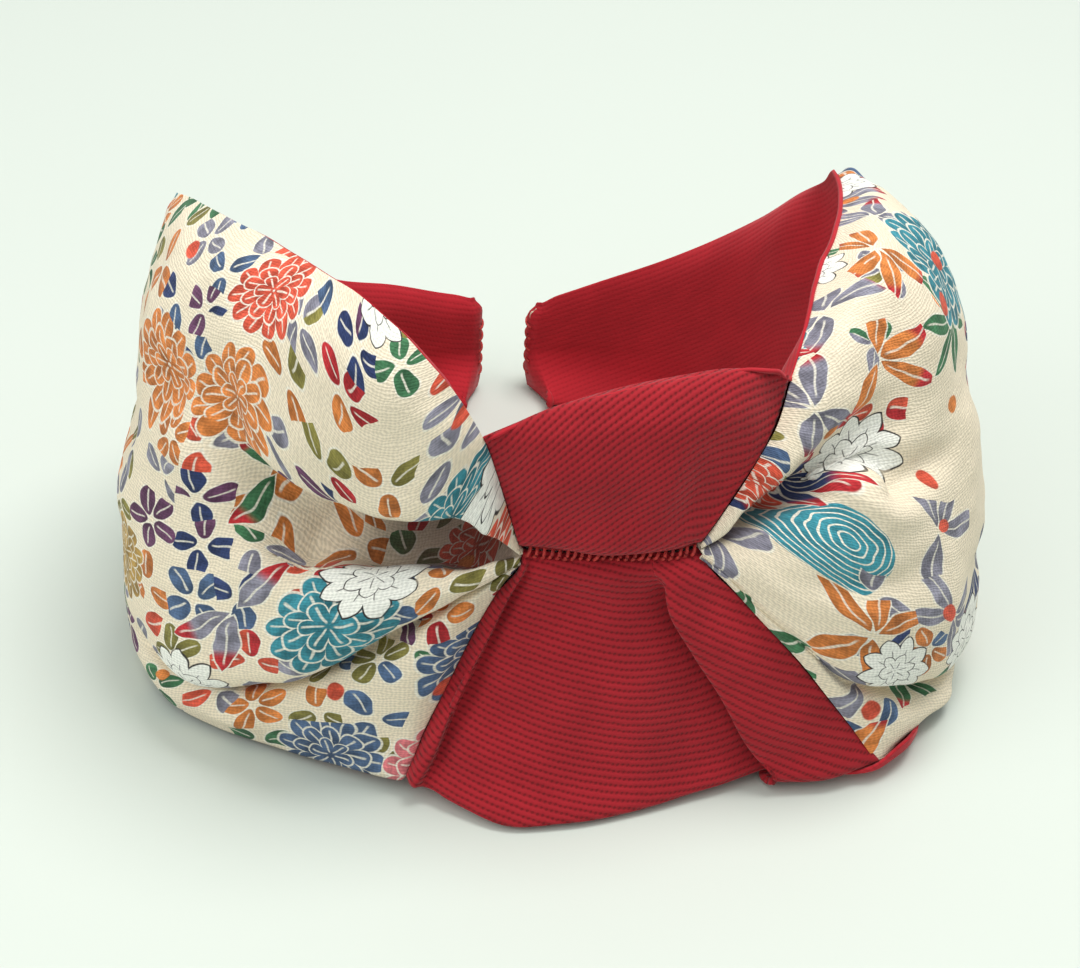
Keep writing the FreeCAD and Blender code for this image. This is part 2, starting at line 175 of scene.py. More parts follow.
# Sections of the print between its top seam and its hem: radius and height of each rail.
# Left rails: crest, shoulder, lip of the deep pocket, its back wall, its floor, ridge below it,
# belly, fold over the cuff, inside that fold, top of the cuff, middle of the cuff.
LEFT_WING = {
    -9.2: [(68.6, 51.4), (68.9, 51.3), (68.9, 51.2), (67.4, 51), (67.2, 50.6), (68.8, 50.2), (69.2, 49.9),
           (69.2, 49.6), (68.5, 49.4), (69, 49.2), (68.8, 48.9)],
    -12.1: [(69.4, 61), (70.8, 58.4), (71.3, 56), (66.2, 54), (67, 48.6), (71.3, 50.6), (72.2, 49.4),
            (71.8, 48.3), (69.8, 47.6), (71, 46.8), (70.6, 45)],
    -15.7: [(71.8, 74), (73.2, 67), (73.6, 60.2), (65.4, 56.6), (66.2, 45.5), (74.3, 50.6), (76, 48.4),
            (75.3, 46.2), (71.8, 44.6), (74, 43.6), (73.2, 39.5)],
    -22.6: [(75.4, 85.5), (77.2, 75), (77.6, 63.3), (65.2, 58), (66, 43.6), (77.4, 50), (81, 46.4),
            (80.4, 41), (75, 38.4), (79, 37.2), (82, 22)],
    -30: [(76.8, 91.5), (79.6, 79), (80.6, 63.6), (67.5, 57.5), (69.5, 45.5), (81.6, 50.8), (87.2, 44.5),
          (86.5, 34), (79.5, 30.8), (83.3, 29.8), (85.3, 17)],
    -40: [(76.2, 96), (81.2, 83), (83.4, 66), (77, 59), (79.6, 51), (86, 52), (91, 41),
          (91, 22.5), (83, 18.8), (86.5, 18.2), (88, 10)],
    -50: [(74.8, 97), (82.2, 85.5), (86, 70.5), (86, 61.5), (87, 55), (89.2, 49.6), (93.4, 37),
          (93.4, 15), (87, 11.4), (90, 11), (92, 6.5)],
    -58: [(74.2, 96.5), (82.2, 85.5), (86.8, 72), (88.6, 62), (89.8, 55.5), (91.6, 48.6), (94.4, 34),
          (95, 14.5), (91, 10.6), (93.5, 10), (95, 6.5)],
    -70: [(74.8, 93.5), (81.6, 84), (85.6, 72), (87.6, 62), (88.8, 55), (90.4, 47.6), (92.2, 33),
          (92.8, 17), (92.2, 11.5), (91.6, 8), (91, 4.5)],
    -84: [(75.4, 88.8), (79.4, 80), (81.8, 69), (83, 60), (83.8, 53), (84.6, 45.6), (85.4, 32),
          (85.4, 18), (85, 11), (84, 7.5), (82.8, 4)],
    -95: [(76.2, 82.6), (78, 75), (79, 65), (79.5, 57), (79.9, 50), (80.2, 43), (80.4, 30),
          (80, 17), (79, 10.5), (78, 7), (76.8, 3.6)],
}
# Right rails: middle of the flat band, its edge, valley, four down the pouch, fold over the
# lip, inside that fold, top of the lip, middle of the lip.
RIGHT_WING = {
    18.7: [(72, 52.3), (72.2, 52), (70.5, 51.7), (72.6, 51.5), (72.9, 51.3), (73, 51.1),
           (73, 50.9), (73, 50.7), (72.6, 50.5), (72.9, 50.4), (72.9, 50.2)],
    22: [(73, 57.3), (73.6, 55.3), (68.5, 52.8), (74, 52), (75.8, 50.8), (76.6, 49.4),
         (76.8, 48.2), (76.8, 47.3), (76.2, 46.8), (76.6, 46.3), (76.6, 45.6)],
    25: [(73.8, 62.4), (74.4, 60.8), (68, 54), (75, 53.5), (79, 50.5), (80.8, 46.8),
         (81, 44), (81, 42.3), (80, 41.6), (80.6, 40.8), (80.5, 39.9)],
    30: [(74.5, 71), (76.3, 68.8), (69, 55.5), (78, 56.5), (84.5, 52), (87.3, 45),
         (88, 38.5), (88, 34.8), (86.4, 33.5), (87.3, 32.2), (87, 30.2)],
    36: [(73, 80), (77, 74), (71.5, 58.5), (82, 59.5), (88.8, 53), (92.3, 44),
         (94.3, 33), (94.6, 24.5), (90.5, 22), (93.3, 20), (94.3, 14.5)],
    40: [(72, 84.5), (78.2, 77), (75, 62.5), (84.5, 62), (91, 53.5), (95, 42.5),
         (96.8, 30.5), (96.8, 21), (91.5, 18.3), (95.6, 16.3), (98.6, 9.5)],
    47: [(70.5, 90), (79.5, 79), (80, 66.5), (87.2, 60.5), (93, 51), (97, 39.5),
         (98.3, 25.5), (97.8, 15), (92.5, 11.8), (96.6, 10), (99, 6.6)],
    54: [(69, 93), (79.5, 85), (84, 73), (88.8, 61), (93.2, 49), (97.2, 36.5),
         (99, 21), (98.5, 11), (94.3, 8), (97.4, 6.5), (99, 3.8)],
    62: [(67, 95), (78, 89), (85, 77), (90, 63.5), (93.6, 51), (96.6, 37.5),
         (98, 22.5), (97.5, 12.5), (96.4, 8.6), (95.6, 5.4), (94.2, 2.8)],
    72: [(65.5, 94.5), (76, 90), (82.6, 80), (87, 67), (90, 55), (92, 41),
         (92.2, 26), (91.2, 16), (90.2, 10.5), (88.7, 6.4), (86.7, 3)],
    84: [(64.5, 92), (72, 88.5), (77, 80.5), (80, 69), (82, 56), (82.8, 42),
         (82.3, 27.5), (81.2, 17.5), (80.2, 11.5), (79, 6.8), (77.5, 3)],
    95: [(64.5, 89), (69, 85), (71.8, 76.5), (73.6, 65.5), (74.6, 53.5), (75.2, 40.5),
         (74.8, 27.5), (74.2, 17.5), (73.6, 11.5), (72.7, 6.8), (71.6, 3)],
    102: [(65, 86.5), (68.3, 82), (70.3, 74), (71.6, 63.5), (72.3, 52), (72.6, 40),
          (72.4, 27.5), (72, 17.5), (71.4, 11.5), (70.6, 6.8), (69.8, 3)],
}
# Behind the wings the print is a plain puffed band: where its sections are, and how far it puffs.
ARM_STATIONS = (112, 124, 136, 148, 160, 170, 178)
ARM_PUFF = [(95, 4.2), (124, 4), (150, 3.4), (178, 2.6)]

# The lower flap from its left ridge to its pleat, at levels from the stitches to the bottom
# fold: distance to +X, distance forward and height. Rails: folded ridge, recess beside it, five
# across the panel, under the pleat, the pleat's edge, the pleat.
LOWER_FLAP = [
    [(-9.6, 66.2, 50.9), (-8.4, 66.2, 50.9), (-6, 66.7, 50.9), (-2.5, 67.1, 50.9), (1.5, 67.5, 50.9),
     (6, 67.7, 50.9), (10.5, 67.8, 50.9), (14.6, 67.6, 50.9), (16, 67.9, 50.9), (20, 67.6, 50.9)],
    [(-10.5, 69, 48.6), (-9.2, 67.6, 48.6), (-7.5, 68.6, 48.6), (-3.5, 69.6, 48.7), (1, 70.2, 48.8),
     (6, 70.4, 48.8), (10.8, 70, 48.9), (14, 69.9, 49), (16.8, 70.4, 49), (20.5, 70.8, 49)],
    [(-13.4, 69.7, 42), (-11.9, 67.3, 42), (-10, 68.8, 42), (-5, 70.3, 42), (0.8, 71.3, 42),
     (6.5, 71.8, 42.2), (12.6, 70, 42.4), (17.4, 69.2, 42.6), (16.9, 72.3, 42.5), (23, 72.9, 42.5)],
    [(-18.8, 72.6, 30), (-16.9, 69.4, 30), (-14.5, 71.5, 30), (-8, 73.4, 30), (0, 75.3, 30.2),
     (8.5, 75.7, 30.4), (18.4, 72.8, 31), (24.8, 70.4, 31.8), (22.3, 74.3, 31.6), (31, 76.4, 31)],
    [(-25.4, 76.9, 16), (-23.2, 73.4, 16), (-20, 76, 15.6), (-11, 79.1, 15), (0, 81.2, 14.6),
     (11, 80.9, 14.8), (24, 77.4, 15.6), (34, 73.9, 17), (31.1, 77.6, 16.6), (41.5, 79.1, 15.4)],
    [(-28.5, 79.2, 9.4), (-26.2, 76.2, 9), (-22.6, 79.3, 8.4), (-12.8, 83.2, 7.6), (-1, 85, 7),
     (11.6, 83.3, 7), (26, 79.1, 8), (38.3, 75.7, 9.6), (35.3, 79.3, 9.3), (46, 79.9, 8.8)],
    [(-31, 80.6, 4.3), (-29.2, 79.6, 3.6), (-24.5, 82.8, 2.2), (-13.6, 88.1, 0.9), (-2, 88.3, 0.9),
     (12, 85, 1), (28, 81, 1.8), (42, 77.6, 3), (39.2, 80.6, 2.9), (49.5, 80.8, 2.8)],
]
# The upper flap, the same way, from the stitches up to the level below its crest.
UPPER_FLAP = [
    [(-6, 66.5, 51.1), (1, 67.4, 51.1), (8, 67.8, 51.1), (13.5, 67.8, 51.1), (19, 67.4, 51.1)],
    [(-6, 69.1, 53.4), (1, 70.2, 53.4), (8, 70.4, 53.4), (13.7, 70.5, 53.4), (19.3, 69.6, 53.5)],
    [(-7, 69.6, 62), (1, 70.9, 62.2), (8.5, 70.8, 62.4), (14.6, 71.4, 62.5), (20.8, 68.2, 62.5)],
    [(-9, 69.8, 72.6), (1, 71, 73.5), (9, 70.8, 74), (16, 70.9, 74), (23.6, 67, 73.5)],
    [(-10.4, 68.9, 79.6), (0.4, 68.9, 81.3), (9, 68.7, 82.4), (17, 68.4, 82.8), (26.4, 65.2, 82)],
]


def opening_radius(phi):
    """Radius of the lining's inner wall, just outside the head opening."""
    across, deep = HEAD_OPENING
    turn = np.radians(phi)
    spread_out = np.sqrt((deep * np.sin(turn)) ** 2 + (across * np.cos(turn)) ** 2)
    return LINING_INSET + across * deep / spread_out


def along(table, phi):
    """Radius and height of a curve given as (phi, radius, height) rows, at each phi."""
    rows = np.array(sorted(table), float)
    return hermite(rows[:, 0], rows[:, 1:], phi, tight=True)


# ---------------------------------------------------------------- grids and meshes

def grid_normals(points):
    """Unit normals of a grid of points, from its rows and columns."""
    normal = np.cross(np.gradient(points, axis=0), np.gradient(points, axis=1))
    return normal / np.maximum(np.linalg.norm(normal, axis=-1, keepdims=True), 1e-9)


def arc_lengths(points):
    """Distance along the second axis of a grid."""
    steps = np.linalg.norm(np.diff(points, axis=1), axis=-1)
    return np.concatenate([np.zeros((len(points), 1)), np.cumsum(steps, axis=1)], axis=1)


def sample_rails(rails, rows_per_gap):
    """Smooth each line of rail points, with the same number of rows in every gap."""
    gaps = rails.shape[1] - 1
    within = np.arange(rows_per_gap) / rows_per_gap
    share = np.concatenate([index + within for index in range(gaps)] + [[gaps]])
    lines = []
    for line in rails:
        steps = np.maximum(np.linalg.norm(np.diff(line, axis=0), axis=-1), 0.05)
        knots = np.concatenate([[0], np.cumsum(steps)])
        whole = np.minimum(share.astype(int), gaps - 1)
        where = knots[whole] + (share - whole) * steps[whole]
        lines.append(hermite(knots, line, where))
    return np.array(lines)


def from_edge(count):
    """How many rows each of count rows is from the nearer end."""
    return np.minimum(np.arange(count), count - 1 - np.arange(count))


def relax(points, rounds):
    """Average neighbours along the first axis, holding both ends."""
    for _ in range(rounds):
        points = points.copy()
        points[1:-1] = 0.25 * points[:-2] + 0.5 * points[1:-1] + 0.25 * points[2:]
    return points


def cloth_mesh(name, points, uv, thickness, side, shade=None):
    """One closed mesh in metres: the shown face, a second face a thickness behind it, and a rim.
    Shade is how far each point lies in a closed fold, from 0 to 1, which paints shade onto the cloth there."""
    rows, columns = points.shape[:2]
    back = points - side * thickness * grid_normals(points)
    vertices = np.concatenate([points.reshape(-1, 3), back.reshape(-1, 3)]) * MM
    number = np.arange(rows * columns).reshape(rows, columns)
    quads = np.stack([number[:-1, :-1], number[1:, :-1], number[1:, 1:], number[:-1, 1:]], axis=-1)
    front = quads.reshape(-1, 4)
    behind = front[:, ::-1] + rows * columns
    edge = np.concatenate([number[:, 0], number[-1, 1:], number[-2::-1, -1], number[0, -2::-1]])
    rim = np.stack([edge[:-1], edge[:-1] + rows * columns, edge[1:] + rows * columns, edge[1:]], axis=-1)
    faces = np.concatenate([front, behind, rim])
    if side < 0:
        faces = faces[:, ::-1]
    mesh = bpy.data.meshes.new(name)
    mesh.from_pydata(vertices.tolist(), [], faces.tolist())
    layer = mesh.uv_layers.new(name="cloth_mm")
    corners = np.zeros(len(mesh.loops), np.int32)
    mesh.loops.foreach_get("vertex_index", corners)
    both = np.concatenate([uv.reshape(-1, 2), uv.reshape(-1, 2)])
    layer.data.foreach_set("uv", both[corners].astype(np.float32).ravel())
    mesh.polygons.foreach_set("use_smooth", np.ones(len(faces), bool))
    if shade is not None:
        depth = mesh.attributes.new("fold_shade", "FLOAT", "POINT")
        both = np.concatenate([shade.ravel(), shade.ravel()])
        depth.data.foreach_set("value", both.astype(np.float32))
    mesh.validate()
    piece = bpy.data.objects.new(name, mesh)
    bpy.context.collection.objects.link(piece)
    return piece


def path_distance(path, first, second, scale):
    """Distance from each (first, second) to a polyline, and how far along it, from 0 to 1."""
    line = np.array(path, float) * scale
    where = np.stack([first * scale[0], second * scale[1]], axis=-1)
    nearest = np.full(first.shape, 1e9)
    share = np.zeros(first.shape)
    for index in range(len(line) - 1):
        step = line[index + 1] - line[index]
        part = np.clip(((where - line[index]) @ step) / (step @ step), 0, 1)
        away = np.linalg.norm(where - line[index] - part[..., None] * step, axis=-1)
        closer = away < nearest
        nearest = np.where(closer, away, nearest)
        share = np.where(closer, (index + part) / (len(line) - 1), share)
    return nearest, share


def ripples(first, second, length, seed):
    """Smooth seeded unevenness of about unit size, with features near the given length."""
    random = np.random.default_rng(seed)
    total = np.zeros(first.shape)
    for _ in range(9):
        turn = random.uniform(0, 2 * math.pi)
        rate = 2 * math.pi / (length * random.uniform(0.7, 1.6))
        place = first * math.cos(turn) + second * math.sin(turn)
        total += np.sin(rate * place + random.uniform(0, 6.28))
    return total / 3


# ---------------------------------------------------------------- print cloth

def print_rails(wing, top, hem, phi):
    """Radius and height of all rails of a print piece at each phi, top seam to hem."""
    stations = sorted(wing)
    inner = np.array([wing[station] for station in stations], float)
    sign = 1 if stations[-1] > 0 else -1
    count = inner.shape[1]
    arm = []
    drop = np.linspace(0, 1, count + 2)[1:-1, None]
    for station in ARM_STATIONS:
        upper = along(top, np.array([sign * station]))[0]
        lower = along(hem, np.array([sign * station]))[0]
        puff = np.interp(station, *zip(*ARM_PUFF))
        line = upper + (lower - upper) * drop
        line[:, 0] += puff * np.sin(math.pi * drop[:, 0]) ** 0.85
        arm.append(line)
    arm = np.array(arm)
    arm_phi = [sign * station for station in ARM_STATIONS]
    if sign < 0:
        every = np.concatenate([arm[::-1], inner])
        where = np.concatenate([arm_phi[::-1], stations])
    else:
        every = np.concatenate([inner, arm])
        where = np.concatenate([stations, arm_phi])
    middle = hermite(where, every, phi)
    upper = along(top, phi)
    on_arm = smoothstep(92, 108, np.abs(phi))
    upper[:, 0] += on_arm * np.clip(opening_radius(phi) + ARM_GAP - upper[:, 0], 0, ARM_GAP)
    upper[:, 1] -= ARM_DROP * on_arm
    return np.concatenate([upper[:, None], middle, along(hem, phi)[:, None]], axis=1)


def close_tip(profile, phi, end):
    """Draw print and lining together over the last few degrees, into the sewn end."""
    near = smoothstep(abs(end) - TIP_CLOSING, abs(end), np.abs(phi)) ** 2
    seam = opening_radius(phi)[:, None] + TIP_SEAM
    profile = profile.copy()
    profile[..., 0] += (seam - profile[..., 0]) * near[:, None] * TIP_DRAWN
    return profile


def round_tip(phi, radius, height, end, top):
    """Pull the corners of the sewn end back, most where the bottom slopes inward past the core."""
    sign = 1 if end > 0 else -1
    near = smoothstep(abs(end) - TIP_ROUNDING, abs(end), np.abs(phi))
    low = 1 - smoothstep(0, 8, height)
    high = smoothstep(top - 4, top, height)
    inward = np.clip((opening_radius(phi) - radius) / 9, 0, 1)
    return phi - sign * near * (0.8 * low**2 + 5.5 * inward + 1.8 * high**2)


def print_points(wing, top, hem, phi, dents):
    """Grid of a print piece, its cloth coordinates in millimetres, and the side that shows."""
    rails = print_rails(wing, top, hem, phi)
    profile = sample_rails(rails, PRINT_ROWS)
    profile = relax(profile, 2)
    profile = close_tip(profile, phi, phi[-1])
    angle = np.repeat(phi[:, None], profile.shape[1], axis=1)
    tip_height = along(top, phi[-1:])[0, 1]
    angle = round_tip(angle, profile[..., 0], profile[..., 1], phi[-1], tip_height)
    points = polar(angle, profile[..., 0], profile[..., 1])
    along_mm = PRINT_RADIUS * np.radians(angle)
    down_mm = arc_lengths(points)
    middle = BELLY_RAIL * PRINT_ROWS
    down_mm = down_mm - down_mm[:, middle:middle + 1]
    side = 1 if phi[-1] < 0 else -1
    normal = side * grid_normals(points)
    push = np.zeros(angle.shape)
    for path, depths, width in dents:
        away, share = path_distance(path, angle, points[..., 2], (1.45, 1.0))
        depth = np.interp(share, np.linspace(0, 1, len(depths)), depths)
        push += depth * np.exp(-(away / width) ** 2)
    calm = smoothstep(0, 14, from_edge(points.shape[1]))[None, :]
    calm = calm * smoothstep(0, 14, np.arange(len(points)))[:, None]
    arm = smoothstep(90, 110, np.abs(angle))
    push += (0.55 - 0.25 * arm) * ripples(along_mm, down_mm, 24, 3) * calm
    push += 0.12 * ripples(along_mm, down_mm, 8, 5) * calm
    points = points + normal * push[..., None] * calm[..., None]
    return points, np.stack([along_mm, down_mm], axis=-1), side


def spread(first, last, count, crowd):
    """Angles from first to last, closer together near first."""
    share = np.linspace(0, 1, count)
    return first + (last - first) * ((1 - crowd) * share + crowd * share**2)


# Dents pressed into the print: a path of phi and height, depths along it and a half-width. A
# positive depth stands out and a negative one goes in.
LEFT_DENTS = [
    ([(-38, 53), (-44, 60), (-49, 68), (-52, 78), (-58, 86)], (-5.4, -5, -4.2, -2.6, -0.8), 5),
    ([(-52, 80), (-62, 72), (-72, 64)], (-0.8, -3.4, -0.8), 6),
    ([(-30, 72), (-38, 76), (-46, 84)], (0.6, 2, 0.6), 7),
    ([(-52, 54), (-56, 62), (-62, 66)], (1.2, 2, 0.4), 5),
    ([(-60, 46), (-70, 40), (-80, 42)], (0.3, 1.6, 0.2), 6),
    ([(-66, 58), (-74, 52), (-84, 50)], (-0.4, -2.4, -0.4), 5),
    ([(-84, 60), (-90, 50), (-92, 36)], (-0.3, -1.8, -0.4), 7),
]
RIGHT_DENTS = [
    ([(50, 66), (43, 65), (39, 61.5), (41, 58), (47, 54)], (0.4, 2.6, 3.6, 2.6, 0.4), 3),
    ([(45, 61.5), (52, 60.5), (58, 58)], (-3.4, -2.6, -0.3), 3),
    ([(37, 70), (44, 74), (52, 82)], (-0.4, -1.8, -0.4), 4),
    ([(28, 50), (34, 47), (42, 44), (50, 44)], (-0.3, -1.6, -1.4, -0.2), 3.5),
    ([(30, 46), (36, 40), (44, 34)], (0.2, 1.3, 0.2), 4),
    ([(60, 74), (68, 66), (76, 56)], (-0.4, -2, -0.4), 6),
    ([(56, 34), (64, 28), (72, 26)], (-0.2, -1.8, -0.2), 5),
]
LEFT_END = -173.8
RIGHT_END = 176.5
LEFT_PHI = spread(-9.2, LEFT_END + TIP_WRAP, 262, 0.35)
RIGHT_PHI = spread(18.7, RIGHT_END - TIP_WRAP, 250, 0.35)


def fold_shade(phi, columns, rails, reach):
    """How deep in the fold by the knot each point lies, which sets the shade painted there. Rails are where
    the fold opens and closes, and reach is where along the band it fades."""
    rail = np.arange(columns) / PRINT_ROWS
    open_rail, close_rail = rails
    across = smoothstep(open_rail, open_rail + 0.25, rail)
    across = across * (1 - smoothstep(close_rail - 0.4, close_rail, rail))
    away = np.abs(phi)
    near, fade, far = reach
    onward = smoothstep(near, near + 2, away) * (1 - smoothstep(fade, far, away))
    return onward[:, None] * across[None, :]


def make_print(name, wing, top, hem, phi, dents, fold_rails, fold_reach):
    points, uv, side = print_points(wing, top, hem, phi, dents)
    shade = fold_shade(phi, points.shape[1], fold_rails, fold_reach)
    return cloth_mesh(name, points, uv, PRINT_THICKNESS, side, shade)


# ---------------------------------------------------------------- lining

def lining_points(top, base, lip, phi, end):
    """Grid of a lining: top seam, inner wall, bottom corner, base and the lip at its outer edge.
    Behind each wing the rim is tucked inside the print, and along the arms it covers the print's
    top edge and the foot of the wall slopes inward."""
    tuck = smoothstep(14, 17, -phi) * (1 - smoothstep(88, 104, -phi))
    inset = smoothstep(35, 38, phi) * (1 - smoothstep(100, 110, phi))
    peak = 104 if end > 0 else 92
    arm = smoothstep(peak, peak + 16, np.abs(phi))
    flare = ARM_FLARE * smoothstep(100, 140, np.abs(phi))
    upper = along(top, phi)
    upper = upper - tuck[:, None] * np.array([0.9, 0.7]) - inset[:, None] * np.array([0.6, -0.2])
    upper += arm[:, None] * np.array([0.7, 0.5])
    lower = along(base, phi)
    wall = opening_radius(phi)
    head = upper[:, 1]
    reach = upper[:, 0] - wall
    lean = np.minimum(np.abs(reach) * 0.5 + 2 - 1.7 * arm, 6)
    rails = np.stack([
        upper,
        np.stack([wall + reach * 0.55, head - 0.6 * lean], axis=-1),
        np.stack([wall + reach * 0.15, head - 1.5 * lean], axis=-1),
        np.stack([wall, 0.5 * head], axis=-1),
        np.stack([wall, 10 + 0.2 * (0.5 * head - 9)], axis=-1),
        np.stack([wall - 0.1 * flare, np.full(len(phi), 9.0)], axis=-1),
        np.stack([wall + 0.4 - flare, np.full(len(phi), 2.0)], axis=-1),
        np.stack([wall + 3 - flare, np.full(len(phi), 0.8)], axis=-1),
        np.stack([0.5 * wall + 0.5 * lower[:, 0], np.full(len(phi), 0.8)], axis=-1),
        lower - np.array([1.5, 0]),
        lower + np.stack([0.1 * lip, 0.4 * lip], axis=-1),
        lower + np.stack([0.1 * lip, lip], axis=-1),
    ], axis=1)
    profile = sample_rails(rails, LINING_ROWS)
    profile[..., 1] = np.maximum(profile[..., 1], 0.75)
    profile = close_tip(profile, phi, end)
    angle = np.repeat(phi[:, None], profile.shape[1], axis=1)
    angle = round_tip(angle, profile[..., 0], profile[..., 1], end, upper[-1, 1])
    points = polar(angle, profile[..., 0], profile[..., 1])
    sideways = LINING_RADIUS * np.radians(angle)
    down = arc_lengths(points)
    return points, np.stack([sideways, down], axis=-1)


def make_lining(name, top, base, phi, lip):
    points, uv = lining_points(top, base, lip, phi, phi[-1])
    sign = 1 if phi[-1] < 0 else -1
    normal = sign * grid_normals(points)
    calm = smoothstep(0, 20, np.arange(points.shape[1]))[None, :, None]
    points = points + normal * calm * 0.25 * ripples(uv[..., 0], uv[..., 1], 26, 11)[..., None]
    points[..., 2] = np.maximum(points[..., 2], 0.7)
    return cloth_mesh(name, points, uv, TWILL_THICKNESS, -sign)


LINING_MEETING = 12
LINING_TOP_LEFT = [row for row in TOP_LEFT if row[0] < -15.7] + [row for row in CREST if row[0] < 14]
LINING_TOP_LEFT += [(14, 64.7, 86.8)]
LINING_TOP_RIGHT = [(10, 64.6, 86.5)] + [row for row in CREST if 14 < row[0] < 36]
LINING_TOP_RIGHT += [row for row in TOP_RIGHT if row[0] >= 36]
LINING_LEFT_PHI = np.linspace(LINING_MEETING, LEFT_END, 230)
LINING_RIGHT_PHI = np.linspace(LINING_MEETING, RIGHT_END, 210)


# ---------------------------------------------------------------- flaps

def flap_grid(levels, columns_per_gap, rows_per_gap):
    """Smooth grid through levels of rail points given as across, forward and height."""
    net = np.array(levels, float)
    lines = sample_rails(net, columns_per_gap)
    grid = sample_rails(lines.transpose(1, 0, 2), rows_per_gap)
    points = np.empty(grid.shape)
    points[..., 0] = CENTRE[0] + grid[..., 0]
    points[..., 1] = CENTRE[1] - grid[..., 1]
    points[..., 2] = grid[..., 2]
    return points


def flap_uv(points, turn):
    """Cloth coordinates in millimetres of a flap grid, with the weave turned in degrees."""
    across = points[..., 0] - CENTRE[0]
    down = arc_lengths(points)
    slant = math.radians(turn)
    return np.stack([across * math.cos(slant) + down * math.sin(slant),
                     down * math.cos(slant) - across * math.sin(slant)], axis=-1)


def make_flap(name, points, turn, seed):
    """Closed flap cloth from a grid that runs across (first axis) and down (second axis)."""
    uv = flap_uv(points, turn)
    rows, columns = points.shape[:2]
    calm = smoothstep(0, 8, from_edge(rows))[:, None] * smoothstep(0, 10, from_edge(columns))[None, :]
    push = 0.35 * ripples(uv[..., 0], uv[..., 1], 22, seed) * calm
    points = points + grid_normals(points) * push[..., None]
    return cloth_mesh(name, points, uv, TWILL_THICKNESS, -1)


def seam_point(table, height):
    """Point of a seam at a height, as across, forward and height, just behind the print's edge."""
    rows = np.array(sorted(table, key=lambda row: row[2]), float)
    phi = math.radians(np.interp(height, rows[:, 2], rows[:, 0]))
    radius = np.interp(height, rows[:, 2], rows[:, 1]) - 0.35
    return (radius * math.sin(phi), radius * math.cos(phi), height)


LEFT_SEAM = [row for row in HEM_LEFT if row[0] > -23]
RIGHT_SEAM = [row for row in HEM_RIGHT if row[0] < 39]
LEFT_TOP_SEAM = [row for row in TOP_LEFT if row[0] > -16]
RIGHT_TOP_SEAM = [row for row in TOP_RIGHT if row[0] < 37]


def lower_flap_pieces():
    """Left ridge, panel and overlapping pleat of the lower flap, cut from one folded cloth."""
    levels = []
    for level in LOWER_FLAP:
        left = seam_point(LEFT_SEAM, level[0][2])
        right = seam_point(RIGHT_SEAM, max(level[-1][2] - 0.2, 4))
        if level is LOWER_FLAP[0]:
            left = (-10.9, 64.5, 50.9)
            right = (23, 66.2, 50.8)
        levels.append([left, *level, right])
    bottom = levels[-1]
    levels.append([(x * 0.99, ahead - 1.2, max(height - 1, 0.8)) for x, ahead, height in bottom])
    levels.append([(x * 0.97, ahead - 7, max(height - 1.8, 0.8)) for x, ahead, height in bottom])
    columns = 14
    points = flap_grid(levels, columns, 12)
    made = []
    for name, first, last, turn in (("lower_flap_edge_cloth", 0, 2, 12), ("lower_flap_panel_cloth", 2, 8, 12),
                                    ("lower_flap_pleat_cloth", 8, 11, 38)):
        made.append(make_flap(name, points[first * columns:last * columns + 1], turn, 21))
    return made


def upper_flap_piece():
    """Upper flap from the stitches to its crest, where it rolls over into the lining."""
    levels = []
    for level in UPPER_FLAP:
        left = seam_point(LEFT_TOP_SEAM, min(level[0][2] - 0.6, 75.5))
        right = seam_point(RIGHT_TOP_SEAM, min(level[-1][2] - 0.6, 79))
        if level is UPPER_FLAP[0]:
            left = (-10.9, 65, 51.1)
            right = (23, 66.4, 51.6)
        levels.append([left, *level, right])
    crest_phi = np.array([-15.6, -8.6, 0.4, 8, 15, 24.5, 35])
    crest = [(radius * math.sin(turn), radius * math.cos(turn), height)
             for (radius, height), turn in zip(along(CREST, crest_phi), np.radians(crest_phi))]
    levels.append(crest)
    roll = (0, 0.6, 1, 1, 1, 0.6, 0)
    levels.append([(x - 0.03 * x * share, ahead - 0.3 - 1.3 * share, height - 0.1 - 0.5 * share)
                   for (x, ahead, height), share in zip(crest, roll)])
    points = flap_grid(levels, 22, 16)[:, ::-1]
    return make_flap("upper_flap_cloth", points, -28, 31)


# ---------------------------------------------------------------- thread

def thread_mesh(name, paths, radius):
    """Closed round threads along paths of points in millimetres, joined into one mesh."""
    sides = 8
    turn = np.linspace(0, 2 * math.pi, sides, endpoint=False)
    vertices = []
    faces = []
    for path in paths:
        path = np.array(path, float)
        forward = np.gradient(path, axis=0)
        forward /= np.linalg.norm(forward, axis=1, keepdims=True)
        across = np.cross(forward, (0.3, 0.2, 1.0))
        across /= np.linalg.norm(across, axis=1, keepdims=True)
        up = np.cross(across, forward)
        start = len(vertices)
        for index in range(len(path)):
            ring = np.outer(np.cos(turn), across[index]) + np.outer(np.sin(turn), up[index])
            vertices.extend((path[index] + radius * ring) * MM)
        for index in range(len(path) - 1):
            for side in range(sides):
                after = (side + 1) % sides
                first = start + index * sides
                faces.append((first + side, first + after, first + sides + after, first + sides + side))
        faces.append(tuple(start + side for side in reversed(range(sides))))
        last = start + (len(path) - 1) * sides
        faces.append(tuple(last + side for side in range(sides)))
    mesh = bpy.data.meshes.new(name)
    mesh.from_pydata([tuple(vertex) for vertex in vertices], [], faces)
    mesh.polygons.foreach_set("use_smooth", np.ones(len(faces), bool))
    piece = bpy.data.objects.new(name, mesh)
    bpy.context.collection.objects.link(piece)
    return piece


KNOT_STITCH_COUNT = 23
# Line of the stitches between the flaps: distance to +X and distance forward.
SLIT = [(-10.2, 65.6), (-6, 66.7), (1.5, 67.5), (10.5, 67.8), (16, 67.9), (20, 67.5), (22.4, 66.5)]


